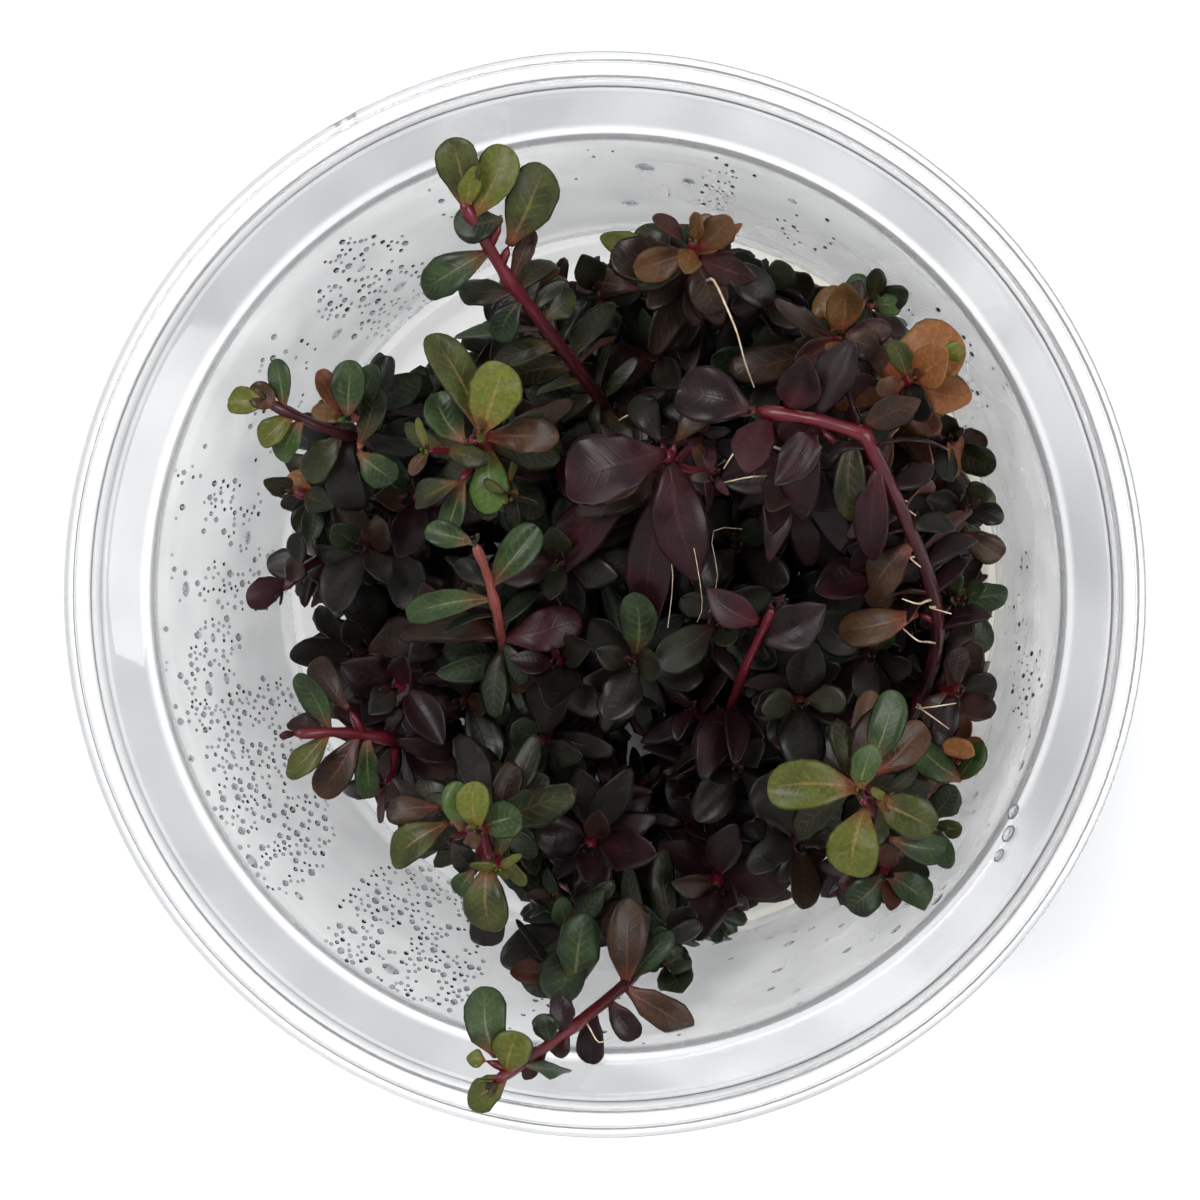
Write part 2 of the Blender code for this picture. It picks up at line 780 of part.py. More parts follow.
def build_shoot(name, rings, top, leaves, collection, finish):
    """One shoot: a box drawn out ring by ring, with each leaf drawn out of its node's face."""
    bm = bmesh.new()
    bmesh.ops.create_cube(bm, size=1.0)
    bm.faces.ensure_lookup_table()
    floor = min(bm.faces, key=lambda face: face.calc_center_median().z)
    roof = max(bm.faces, key=lambda face: face.calc_center_median().z)
    for corner, vert in enumerate(ordered(floor, rings[0])):
        joined = [edge.other_vert(vert) for edge in vert.link_edges]
        above = next(other for other in joined if other in roof.verts)
        vert.co = rings[0][corner]
        above.co = rings[1][corner]
    face = roof
    sides = {0: side_faces(roof, bm)}
    for level in range(2, len(rings)):
        face, walls = drawn_out(bm, face, rings[level])
        sides[level - 1] = walls
    cap = bmesh.ops.poke(bm, faces=[face])["verts"][0]
    cap.co = top
    for low, leaf in leaves:
        middle = sum(leaf.face, Vector()) / 4
        wall = min(sides[low], key=lambda side: (side.calc_center_median() - middle).length)
        sides[low].remove(wall)
        for section in leaf.sections:
            wall, _ = drawn_out(bm, wall, section)
        bmesh.ops.poke(bm, faces=[wall])["verts"][0].co = leaf.tip
    bmesh.ops.triangulate(bm, faces=bm.faces)
    bmesh.ops.recalc_face_normals(bm, faces=bm.faces)
    return mesh_object(name, bm, collection, finish)


def ordered(face, points):
    """The face's corners in the points' turning order, whatever corner comes first."""
    corners = [loop.vert for loop in face.loops]
    corners.reverse()
    return matched_verts(corners, points)


def matched_verts(verts, points):
    """The corners, shifted round so that each lies nearest to its point."""
    middle = sum((vert.co for vert in verts), Vector()) / 4
    target = sum(points, Vector()) / 4
    orders = [verts[shift:] + verts[:shift] for shift in range(4)]

    def turn_away(order):
        return sum(
            ((vert.co - middle).normalized() - (point - target).normalized()).length
            for vert, point in zip(order, points)
        )

    return min(orders, key=turn_away)


def side_faces(roof, bm):
    """The faces round a roof."""
    return [face for face in bm.faces if face is not roof and any(e in roof.edges for e in face.edges)]


def drawn_out(bm, face, points):
    """Extrudes a face and puts its corners at the points: the new end face and its four walls."""
    made = bmesh.ops.extrude_discrete_faces(bm, faces=[face])["faces"][0]
    verts = [loop.vert for loop in made.loops]
    for vert, point in zip(matched_verts(verts, points), points):
        vert.co = point
    walls = [f for edge in made.edges for f in edge.link_faces if f is not made]
    return made, walls


def socket_cutter(placed, cutters):
    """The sockets round the stems, as one cutter of separate prisms."""
    bm = bmesh.new()
    for _, rings, _, _ in placed:
        foot = widened(rings[0], GAP)
        above = widened(rings[1], GAP)
        for vert in bmesh.ops.create_cube(bm, size=1.0)["verts"]:
            nearest = match_corner(vert.co)
            height = GEL_TOP - SOCKET_DEPTH if vert.co.z < 0.0 else GEL_TOP + 1.0
            start = foot[nearest]
            slope = (above[nearest] - start) / (above[nearest].z - start.z)
            vert.co = start + slope * (height - start.z)
    obj = mesh_object("socket_form", bm, cutters)
    obj.hide_render = True
    obj.display_type = "WIRE"
    return obj


def match_corner(reach):
    """Which corner of a section, counted round from +X +Y, lies this way."""
    return int(((math.degrees(math.atan2(reach.y, reach.x)) + 360.0) % 360.0) // 90.0)


def surface_of(obj):
    """Points in millimetres and faces of an object as it stands, with its modifiers."""
    graph = bpy.context.evaluated_depsgraph_get()
    evaluated = obj.evaluated_get(graph)
    mesh = evaluated.to_mesh()
    points = [vert.co / MM for vert in mesh.vertices]
    faces = [tuple(polygon.vertices) for polygon in mesh.polygons]
    evaluated.to_mesh_clear()
    return points, faces


def main():
    """Builds the cup, the gel and the shoots."""
    clear_scene()
    parts = collection_named("tissue_culture_rotala")
    cutters = collection_named("cutters", hidden=True)
    cup = turned("cup", cup_profile(), parts, material("cup_plastic", (0.93, 0.94, 0.95), 0.08, 1.0))
    gel = turned("gel", gel_profile(), parts, material("gel_agar", (0.86, 0.84, 0.76), 0.3, 0.6))
    bpy.context.view_layer.update()
    fixed = Obstacles()
    fixed.add(*surface_of(cup))
    placed = place_stems(PLACED_SHOOTS + low_shoots(), fixed)
    above_gel = Obstacles()
    above_gel.add(*surface_of(cup))
    above_gel.add(*surface_of(gel))
    leaves = grow_leaves(placed, above_gel)
    for (shoot, rings, _, top), grown in zip(placed, leaves):
        finish = material(f"{shoot.name}_leaf", shoot.colour, 0.35)
        build_shoot(f"shoot_{shoot.name}", rings, top, grown, parts, finish)
    add_nib(cup, cutters)
    cut = gel.modifiers.new("Sockets", "BOOLEAN")
    cut.operation = "DIFFERENCE"
    cut.solver = "EXACT"
    cut.object = socket_cutter(placed, cutters)
    total = sum(len(grown) for grown in leaves)
    print(f"{len(placed)} shoots, {total} leaves")


main()
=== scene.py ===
"""Looks of a clear culture cup with a clump of colorata dwarf rotala rooted in agar gel.

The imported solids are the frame. Each shoot is read back from its solid as a stem's line and a list of
leaves, and is grown again on those lines with curved blades, swollen nodes and a bud of young leaves.
The cup and the gel are turned from smoothed outlines that lie on the solids' own. Lengths are
millimetres until a mesh is made.
"""

import json
import logging
import math
from dataclasses import dataclass, field
from enum import Enum
from typing import Callable, Iterable, Optional, Sequence

import bmesh
import bpy
import numpy as np
from mathutils import Matrix, Vector, noise

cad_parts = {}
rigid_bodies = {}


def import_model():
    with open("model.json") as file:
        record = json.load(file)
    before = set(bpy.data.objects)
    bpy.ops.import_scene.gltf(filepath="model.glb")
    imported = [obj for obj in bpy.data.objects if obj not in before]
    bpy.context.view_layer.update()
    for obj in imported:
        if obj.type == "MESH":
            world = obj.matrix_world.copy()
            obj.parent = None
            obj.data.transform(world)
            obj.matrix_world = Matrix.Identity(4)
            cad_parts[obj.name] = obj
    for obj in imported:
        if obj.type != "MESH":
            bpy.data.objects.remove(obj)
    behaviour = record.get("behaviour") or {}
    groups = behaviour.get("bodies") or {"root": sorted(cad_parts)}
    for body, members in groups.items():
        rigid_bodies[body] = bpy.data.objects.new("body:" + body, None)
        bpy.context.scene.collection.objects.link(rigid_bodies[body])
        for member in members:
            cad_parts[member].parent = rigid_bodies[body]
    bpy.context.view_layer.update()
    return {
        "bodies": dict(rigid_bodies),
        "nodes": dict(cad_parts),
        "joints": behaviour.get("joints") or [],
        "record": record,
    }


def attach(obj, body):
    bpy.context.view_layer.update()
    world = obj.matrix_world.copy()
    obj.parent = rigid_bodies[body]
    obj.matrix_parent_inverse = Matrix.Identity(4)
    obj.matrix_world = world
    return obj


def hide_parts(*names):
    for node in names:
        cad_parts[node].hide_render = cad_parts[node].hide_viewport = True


LOG = logging.getLogger("rotala_cup")
MM = 0.001
UP = np.array((0.0, 0.0, 1.0))
GOLDEN_TURN = math.radians(137.508)


def linear(red: int, green: int, blue: int) -> tuple[float, float, float, float]:
    """Turns a display colour into the linear colour that a shader takes.

    Args:
        red, green, blue: The display colour's parts, 0 to 255.

    Returns:
        The linear colour, with an alpha of 1.
    """
    parts = [value / 255 for value in (red, green, blue)]
    curved = [p / 12.92 if p <= 0.04045 else ((p + 0.055) / 1.055) ** 2.4 for p in parts]
    return (curved[0], curved[1], curved[2], 1.0)


def unit(vector: np.ndarray) -> np.ndarray:
    """Gives a vector its own direction at length one."""
    return vector / max(float(np.linalg.norm(vector)), 1e-9)


def smoothstep(low: float, high: float, value: np.ndarray | float) -> np.ndarray | float:
    """Rises smoothly from 0 at low to 1 at high."""
    share = np.clip((value - low) / (high - low), 0.0, 1.0)
    return share * share * (3 - 2 * share)


def square_to(vector: np.ndarray, axis: np.ndarray) -> np.ndarray:
    """Takes the part of a vector square to an axis, at length one."""
    return unit(vector - axis * float(np.dot(vector, axis)))


# Mesh making


@dataclass
class Growth:
    """Points, faces and marks of a piece while it is put together, in millimetres."""

    points: list[np.ndarray] = field(default_factory=list)
    faces: list[tuple[int, ...]] = field(default_factory=list)
    finishes: list[int] = field(default_factory=list)
    uv: list[np.ndarray] = field(default_factory=list)
    marks: list[np.ndarray] = field(default_factory=list)
    count: int = 0

    def add(
        self,
        points: np.ndarray,
        faces: Sequence[tuple[int, ...]],
        finish: int,
        uv: np.ndarray,
        marks: np.ndarray,
    ) -> None:
        """Adds one closed form.

        Args:
            points: Its points, n by 3.
            faces: Its faces, as places in points.
            finish: The place of its material on the piece.
            uv: Along and across for each point, n by 2.
            marks: Tone, youth and underside for each point, n by 3.
        """
        start = self.count
        self.points.append(points)
        self.uv.append(uv)
        self.marks.append(marks)
        self.faces.extend(tuple(i + start for i in face) for face in faces)
        self.finishes.extend([finish] * len(faces))
        self.count += len(points)

    def piece(self, name: str, materials: Sequence[bpy.types.Material]) -> bpy.types.Object:
        """Makes the object, with its place in its mesh.

        Args:
            name: The piece's name.
            materials: Its materials, in the order of the finishes.

        Returns:
            The new object, linked to the scene.
        """
        points = np.concatenate(self.points)
        uv = np.concatenate(self.uv)
        marks = np.concatenate(self.marks)
        mesh = bpy.data.meshes.new(name)
        mesh.from_pydata((points * MM).tolist(), [], self.faces)
        mesh.polygons.foreach_set("material_index", self.finishes)
        mesh.polygons.foreach_set("use_smooth", [True] * len(self.faces))
        corners = np.empty(len(mesh.loops), np.int32)
        mesh.loops.foreach_get("vertex_index", corners)
        layer = mesh.uv_layers.new(name="UVMap")
        layer.data.foreach_set("uv", uv[corners].astype(np.float32).ravel())
        for place, mark in enumerate(("tone", "youth", "under")):
            attribute = mesh.attributes.new(mark, "FLOAT", "POINT")
            attribute.data.foreach_set("value", marks[:, place].astype(np.float32))
        for material in materials:
            mesh.materials.append(material)
        mesh.update()
        obj = bpy.data.objects.new(name, mesh)
        bpy.context.scene.collection.objects.link(obj)
        return obj


def loft_faces(rings: int, sides: int) -> list[tuple[int, ...]]:
    """Lists the faces of a tube with a pole at either end.

    Args:
        rings: How many loops it has. The points are a pole, the loops one after another, and a pole.
        sides: How many points a loop has, anticlockwise seen from the far end.

    Returns:
        The faces, facing outwards.
    """
    def at(ring: int, side: int) -> int:
        """Place of a loop's point."""
        return 1 + ring * sides + side % sides

    last = 1 + rings * sides
    faces: list[tuple[int, ...]] = [(0, at(0, k + 1), at(0, k)) for k in range(sides)]
    for ring in range(rings - 1):
        for k in range(sides):
            faces.append((at(ring, k), at(ring, k + 1), at(ring + 1, k + 1), at(ring + 1, k)))
    faces.extend((last, at(rings - 1, k), at(rings - 1, k + 1)) for k in range(sides))
    return faces


def smooth_line(knots: np.ndarray, spacing: float) -> tuple[np.ndarray, np.ndarray]:
    """Runs a smooth line through points.

    Args:
        knots: The points, n by 3.
        spacing: The distance between the line's own points, about.

    Returns:
        The line's points, and for each its place along the knots, counted in knots.
    """
    padded = np.vstack((2 * knots[0] - knots[1], knots, 2 * knots[-1] - knots[-2]))
    line, places = [], []
    for k in range(len(knots) - 1):
        a, b, c, d = padded[k : k + 4]
        steps = max(1, round(float(np.linalg.norm(c - b)) / spacing))
        for s in range(steps):
            t = s / steps
            line.append(
                0.5 * (2 * b + (c - a) * t + (2 * a - 5 * b + 4 * c - d) * t * t + (3 * b - a - 3 * c + d) * t**3)
            )
            places.append(k + t)
    line.append(knots[-1])
    places.append(len(knots) - 1.0)
    return np.array(line), np.array(places)


# The frame read back


@dataclass
class LeafPlan:
    """One leaf's line: where it leaves the stem, its widest places, and its tip."""

    base: np.ndarray
    stations: np.ndarray
    line: np.ndarray
    width: float
    side: np.ndarray
    top: np.ndarray
    youth: float = 0.0
    tone: float = 0.5
    roundness: float = 0.5
    fine: bool = True
    kind: Optional["Foliage"] = None


@dataclass
class StemPlan:
    """One stem's line from its foot to its tip, its half widths, and which knots are nodes."""

    knots: np.ndarray
    radii: np.ndarray
    nodes: list[int]


class FrameShoot:
    """Reads one shoot's solid back as a stem and its leaves."""

    THICK_MOST = 0.55
    NODE_MOST = 1.1
    ONE_SECTION = (0.56, 1.0)
    TWO_SECTIONS = ((0.40, 0.90), (0.76, 0.88))

    def __init__(self, node: bpy.types.Object) -> None:
        """Args: node: The shoot's CAD object, which is only read."""
        work = bmesh.new()
        work.from_mesh(node.data)
        bmesh.ops.remove_doubles(work, verts=work.verts, dist=2e-6)
        work.verts.ensure_lookup_table()
        self.at = np.array([v.co for v in work.verts]) / MM
        self.near = [{e.other_vert(v).index for e in v.link_edges} for v in work.verts]
        work.free()
        self.stem, self.leaves = self.read()

    def rectangle(self, ring: Iterable[int]) -> Optional[tuple[float, float, np.ndarray]]:
        """Measures four points as a rectangle.

        Args:
            ring: The points' places.

        Returns:
            Its short side, its long side and the long side's direction, or None if it isn't one.
        """
        corners = self.at[list(ring)]
        pairs = [(i, j) for i in range(4) for j in range(i)]
        spans = sorted((float(np.linalg.norm(corners[i] - corners[j])), i, j) for i, j in pairs)
        sizes = [s[0] for s in spans]
        if max(sizes[1] - sizes[0], sizes[3] - sizes[2], sizes[5] - sizes[4]) > 0.06:
            return None
        if abs(math.hypot(sizes[0], sizes[2]) - sizes[4]) > 0.06:
            return None
        _, i, j = spans[2]
        return sizes[0], sizes[2], unit(corners[i] - corners[j])

    def beyond(self, ring: set[int], seen: set[int]) -> set[int]:
        """Points joined to a ring that haven't been passed yet."""
        return set().union(*(self.near[i] for i in ring)) - ring - seen

    def read(self) -> tuple[StemPlan, list[LeafPlan]]:
        """Finds the leaves by their pointed ends, and then the stem by its rings.

        Returns:
            The stem and the leaves.
        """
        found: list[tuple[int, list[set[int]], set[int]]] = []
        used: set[int] = set()
        for tip, ring in enumerate(self.near):
            if len(ring) != 4:
                continue
            shape = self.rectangle(ring)
            if shape is None or shape[0] > self.THICK_MOST or shape[1] < 1.5 * shape[0]:
                continue
            sections, seen, here = [set(ring)], {tip}, set(ring)
            while True:
                seen |= here
                here = self.beyond(here, seen)
                shape = self.rectangle(here) if len(here) == 4 else None
                if shape is None or shape[0] > self.THICK_MOST:
                    break
                sections.append(set(here))
            found.append((tip, sections, here))
            used |= {tip}.union(*sections)
        stem_points = [i for i in range(len(self.at)) if i not in used]
        here = set(sorted(stem_points, key=lambda i: self.at[i][2])[:4])
        passed = set(used)
        rings = []
        while len(here) == 4:
            rings.append(sorted(here))
            passed |= here
            here = self.beyond(here, passed)
        knots = [self.at[r].mean(axis=0) for r in rings]
        widths = []
        for r in rings:
            spans = sorted(float(np.linalg.norm(self.at[i] - self.at[j])) for i in r for j in r if j < i)
            widths.append(sum(spans[:4]) / 8)
        if len(here) == 1:
            knots.append(self.at[next(iter(here))])
            widths.append(widths[-1] * 0.45)
        line = np.array(knots)
        nodes = [
            k for k in range(1, len(rings)) if float(np.linalg.norm(line[k] - line[k - 1])) < self.NODE_MOST
        ]
        stem = StemPlan(line, np.array(widths), nodes)
        return stem, [self.leaf(tip, sections, base, stem) for tip, sections, base in found]

    def leaf(self, tip: int, sections: list[set[int]], base: set[int], stem: StemPlan) -> LeafPlan:
        """Turns a leaf's rings into its plan.

        Args:
            tip: The place of its end point.
            sections: Its rings from the tip inwards.
            base: Its four points on the stem.
            stem: The stem that carries it.

        Returns:
            The leaf's plan.
        """
        on_stem = self.at[sorted(base)].mean(axis=0) if len(base) == 4 else None
        if on_stem is None:
            inner = self.at[sorted(sections[-1])].mean(axis=0)
            on_stem = stem.knots[np.argmin(np.linalg.norm(stem.knots - inner, axis=1))]
        inwards = [self.at[sorted(s)].mean(axis=0) for s in sections][::-1]
        shapes = [self.rectangle(s) for s in sections][::-1]
        stations = [0.0, *(s[0] for s in self.TWO_SECTIONS), 1.0] if len(sections) > 1 else [
            0.0, self.ONE_SECTION[0], 1.0
        ]
        full = self.TWO_SECTIONS[0][1] if len(sections) > 1 else self.ONE_SECTION[1]
        line = np.array([on_stem, *inwards, self.at[tip]])
        nearest = int(np.argmin(np.linalg.norm(stem.knots - on_stem, axis=1)))
        upper = stem.knots[min(nearest + 1, len(stem.knots) - 1)] - stem.knots[max(nearest - 1, 0)]
        to_tip = float(np.linalg.norm(stem.knots[-1] - on_stem))
        return LeafPlan(
            base=stem.knots[nearest],
            stations=np.array(stations),
            line=line,
            width=shapes[0][1] / full,
            side=shapes[0][2],
            top=unit(upper),
            youth=math.exp(-to_tip / 6.0),
        )


# Leaves and stems


@dataclass
class Blade:
    """The form of a leaf: how wide, how thick and how folded it is along its length."""

    stations: tuple[float, ...] = (0.0, 0.08, 0.2, 0.35, 0.5, 0.64, 0.77, 0.86, 0.93, 0.97, 0.99)
    spoon: tuple[float, ...] = (0.20, 0.24, 0.44, 0.74, 0.94, 1.0, 0.98, 0.88, 0.69, 0.47, 0.28)
    lance: tuple[float, ...] = (0.22, 0.38, 0.70, 0.94, 1.0, 0.87, 0.63, 0.42, 0.23, 0.11, 0.05)
    coarse_stations: tuple[float, ...] = (0.0, 0.16, 0.36, 0.58, 0.78, 0.93)
    sides_fine: int = 6
    sides_coarse: int = 4
    thickness: float = 0.34
    base_width: float = 0.9

    def line_at(self, plan: LeafPlan, t: float) -> tuple[np.ndarray, np.ndarray]:
        """Follows the leaf's midrib.

        Args:
            plan: The leaf's line.
            t: How far along, 0 to 1.

        Returns:
            The point there, and the way that the line runs.
        """
        def point(s: float) -> np.ndarray:
            """The one curve that passes through all the plan's points."""
            total = np.zeros(3)
            for i, place in enumerate(plan.stations):
                weight = 1.0
                for j, other in enumerate(plan.stations):
                    if j != i:
                        weight *= (s - other) / (place - other)
                total += weight * plan.line[i]
            return total

        step = 0.01
        return point(t), unit(point(min(t + step, 1.0)) - point(max(t - step, 0.0)))

    def spots(self, plan: LeafPlan) -> np.ndarray:
        """Spreads points over a leaf's blade, from a little past its base.

        Args:
            plan: The leaf's line and width.

        Returns:
            The points, about 0.6 mm apart.
        """
        length = float(np.linalg.norm(plan.line[-1] - plan.line[0]))
        t = np.linspace(min(0.9 / length, 0.3), 1.0, max(4, int(length / 0.6)))
        centre = np.zeros((len(t), 3))
        for i, place in enumerate(plan.stations):
            weight = np.ones(len(t))
            for j, other in enumerate(plan.stations):
                if j != i:
                    weight *= (t - other) / (place - other)
            centre += weight[:, None] * plan.line[i]
        half = np.interp(t, (*self.stations, 1.0), (*self.spoon, 0.1)) * plan.width / 2 * 0.92
        across = np.linspace(-1, 1, max(3, int(plan.width / 0.6) + 1))
        return (centre[:, None, :] + (half[:, None] * across)[:, :, None] * plan.side).reshape(-1, 3)

    def grow(self, growth: Growth, plan: LeafPlan, draw: np.random.Generator, finish: int = 0) -> None:
        """Adds one leaf.

        Args:
            growth: The piece that it is added to.
            plan: The leaf's line and widths.
            draw: The source of its small irregularities.
            finish: The place of its material on the piece.
        """
        fold = math.radians(draw.uniform(2, 34)) * (1.2 - 0.4 * plan.roundness)
        curl = draw.uniform(-0.04, 0.14)
        wave = draw.uniform(0.0, 0.07)
        phase = draw.uniform(0, 2 * math.pi)
        turn = math.radians(draw.uniform(-22, 22))
        sweep = draw.uniform(-0.07, 0.07)
        ragged = draw.uniform(0.0, 0.07)
        stations = self.stations if plan.fine else self.coarse_stations
        across = self.sides_fine if plan.fine else self.sides_coarse
        sides = 2 * across
        spread = np.cos(np.arange(sides) * math.pi / across)
        upper = np.arange(sides) <= across
        points, uv, marks = [], [], []
        length = float(np.linalg.norm(plan.line[-1] - plan.line[0]))
        spoon = np.interp(stations, self.stations, self.spoon)
        lance = np.interp(stations, self.stations, self.lance)
        widths = (lance + (spoon - lance) * plan.roundness) * plan.width / 2
        side = plan.side
        for t, half in zip(stations, widths):
            centre, along = self.line_at(plan, t)
            side = square_to(side, along)
            out = np.cross(along, side)
            if float(np.dot(out, plan.top)) < 0:
                side, out = -side, -out
            twist = turn * t
            across_way = side * math.cos(twist) + out * math.sin(twist)
            out_way = out * math.cos(twist) - side * math.sin(twist)
            if t == 0.0:
                half = min(half, self.base_width / 2)
            half = half * (1 + ragged * math.sin(phase + 17 * t))
            centre = centre + side * sweep * length * 4 * t * (1 - t)
            lift = np.abs(spread) * math.tan(fold) * smoothstep(0.0, 0.3, t)
            lift = lift - curl * spread**4 * 2.0
            lift = lift + wave * np.sin(phase + 9 * t + 2.4 * spread) * spread**2 * 3
            thick = self.thickness * (1 - 0.72 * spread**2) * (1 - 0.45 * t)
            body = np.where(upper, 0.5, -0.5) * thick * np.where(np.abs(spread) > 0.999, 0.0, 1.0)
            rib = np.where((np.abs(spread) < 0.01), np.where(upper, -0.05, -0.10), 0.0) * (1 - 0.6 * t)
            height = lift * half + body + rib - 0.45 * math.tan(fold) * half * smoothstep(0.0, 0.3, t)
            points.append(centre + np.outer(spread * half, across_way) + np.outer(height, out_way))
            uv.append(np.column_stack((np.full(sides, t), (spread + 1) / 2)))
            marks.append(np.where(upper, 0.0, 1.0))
        tip, _ = self.line_at(plan, 1.0)
        base, _ = self.line_at(plan, 0.0)
        rings = len(stations)
        cloud = np.vstack((base, np.concatenate(points), tip))
        flat = np.vstack(((0.0, 0.5), np.concatenate(uv), (1.0, 0.5)))
        under = np.concatenate(((0.5,), np.concatenate(marks), (0.5,)))
        extra = np.column_stack((np.full(len(under), plan.tone), np.full(len(under), plan.youth), under))
        growth.add(cloud, loft_faces(rings, sides), finish, flat, extra)
        LOG.debug("leaf of %.1f mm", length)


@dataclass
class Stem:
    """The form of a stem: round, with a swollen ring at each node."""

    sides: int = 8
    spacing: float = 1.3
    roundness: float = 1.0
    swelling: float = 0.2
    swelling_reach: float = 0.75

    def grow(self, growth: Growth, plan: StemPlan, draw: np.random.Generator, finish: int = 1) -> None:
        """Adds one stem.

        Args:
            growth: The piece that it is added to.
            plan: Its line, its half widths and its nodes.
            draw: The source of its small irregularities.
            finish: The place of its material on the piece.
        """
        line, places = smooth_line(plan.knots, self.spacing)
        radii = np.interp(places, np.arange(len(plan.radii)), plan.radii) * self.roundness
        for node in plan.nodes:
            centre = (plan.knots[node] + plan.knots[node - 1]) / 2
            away = np.linalg.norm(line - centre, axis=1)
            radii = radii * (1 + self.swelling * np.exp(-((away / self.swelling_reach) ** 2)))
        radii[-1] = plan.radii[-1]
        ways = np.gradient(line, axis=0)
        side = square_to(np.array((0.6, 0.8, 0.1)), unit(ways[0]))
        angles = np.arange(self.sides) * 2 * math.pi / self.sides
        travelled = np.concatenate(((0.0,), np.cumsum(np.linalg.norm(np.diff(line, axis=0), axis=1))))
        whole = travelled[-1]
        points, uv, marks = [], [], []
        tone = draw.uniform(0, 1)
        for k in range(len(line) - 1):
            along = unit(ways[k])
            side = square_to(side, along)
            out = np.cross(along, side)
            ring = np.outer(np.cos(angles), side) + np.outer(np.sin(angles), out)
            points.append(line[k] + ring * radii[k])
            uv.append(np.column_stack((np.full(self.sides, travelled[k] / whole), angles / (2 * math.pi))))
            marks.append(np.full(self.sides, math.exp(-(whole - travelled[k]) / 9.0)))
        cloud = np.vstack((line[0], np.concatenate(points), line[-1]))
        flat = np.vstack(((0.0, 0.0), np.concatenate(uv), (1.0, 0.0)))
        youth = np.concatenate(((0.0,), np.concatenate(marks), (1.0,)))
        extra = np.column_stack((np.full(len(youth), tone), youth, np.zeros(len(youth))))
        growth.add(cloud, loft_faces(len(line) - 1, self.sides), finish, flat, extra)


# Finishes


class NodeTree:
    """A short way to place and join shader nodes."""

    def __init__(self, tree: bpy.types.NodeTree) -> None:
        """Args: tree: The tree that nodes are placed in."""
        self.tree = tree

    def add(self, kind: str, **settings: object) -> bpy.types.Node:
        """Places a node.

        Args:
            kind: The node's type, without its ShaderNode start.
            settings: The node's own settings.

        Returns:
            The node.
        """
        whole = kind if kind.startswith(("GeometryNode", "FunctionNode", "NodeGroup")) else "ShaderNode" + kind
        node = self.tree.nodes.new(whole)
        for name, value in settings.items():
            setattr(node, name, value)
        return node

    def join(self, source: object, target: bpy.types.NodeSocket) -> None:
        """Feeds a socket from another socket, or sets it to a plain value."""
        if isinstance(source, bpy.types.NodeSocket):
            self.tree.links.new(source, target)
        else:
            target.default_value = source

    def math(self, operation: str, first: object, second: object = 0.0, clamp: bool = False) -> bpy.types.NodeSocket:
        """Works out one value from two.

        Args:
            operation: The Math node's operation.
            first, second: Sockets or numbers.
            clamp: Whether the result is kept from 0 to 1.

        Returns:
            The result's socket.
        """
        node = self.add("Math", operation=operation, use_clamp=clamp)
        self.join(first, node.inputs[0])
        self.join(second, node.inputs[1])
        return node.outputs[0]

    def step(self, value: object, low: float, high: float, start: float = 0.0, end: float = 1.0) -> bpy.types.NodeSocket:
        """Moves a value smoothly from start to end as it passes from low to high."""
        node = self.add("MapRange", interpolation_type="SMOOTHSTEP")
        self.join(value, node.inputs["Value"])
        for name, number in (("From Min", low), ("From Max", high), ("To Min", start), ("To Max", end)):
            node.inputs[name].default_value = number
        return node.outputs["Result"]

    def blend(self, share: object, first: object, second: object, how: str = "MIX") -> bpy.types.NodeSocket:
        """Blends two colours.

        Args:
            share: How much of the second, a socket or a number.
            first, second: Sockets or colours.
            how: The Mix node's blend type.

        Returns:
            The colour's socket.
        """
        node = self.add("Mix", data_type="RGBA", blend_type=how)
        self.join(share, node.inputs[0])
        self.join(first, node.inputs[6])
        self.join(second, node.inputs[7])
        return node.outputs[2]

    def mark(self, name: str) -> bpy.types.NodeSocket:
        """Reads one of the piece's own marks."""
        return self.add("Attribute", attribute_name=name).outputs["Fac"]

    def noise(self, scale: float, detail: float = 2.0, roughness: float = 0.5) -> bpy.types.NodeSocket:
        """Reads cloudy noise on the piece's own coordinates, in cells per metre."""
        coordinates = self.add("TexCoord")
        node = self.add("TexNoise")
        self.join(coordinates.outputs["Object"], node.inputs["Vector"])
        node.inputs["Scale"].default_value = scale
        node.inputs["Detail"].default_value = detail
        node.inputs["Roughness"].default_value = roughness
        return node.outputs["Fac"]


def new_group(name: str, inputs: dict[str, tuple[str, object]], outputs: dict[str, str]) -> tuple:
    """Starts a shader node group.

    Args:
        name: The group's name.
        inputs: Each input's socket type and usual value, by name.
        outputs: Each output's socket type, by name.

    Returns:
        The group, its NodeTree, its input node and its output node.
    """
    group = bpy.data.node_groups.new(name, "ShaderNodeTree")
    for title, (kind, value) in inputs.items():
        socket = group.interface.new_socket(name=title, in_out="INPUT", socket_type=kind)
        socket.default_value = value
    for title, kind in outputs.items():
        group.interface.new_socket(name=title, in_out="OUTPUT", socket_type=kind)
    tree = NodeTree(group)
    return group, tree, group.nodes.new("NodeGroupInput"), group.nodes.new("NodeGroupOutput")


COLOUR, VALUE = "NodeSocketColor", "NodeSocketFloat"


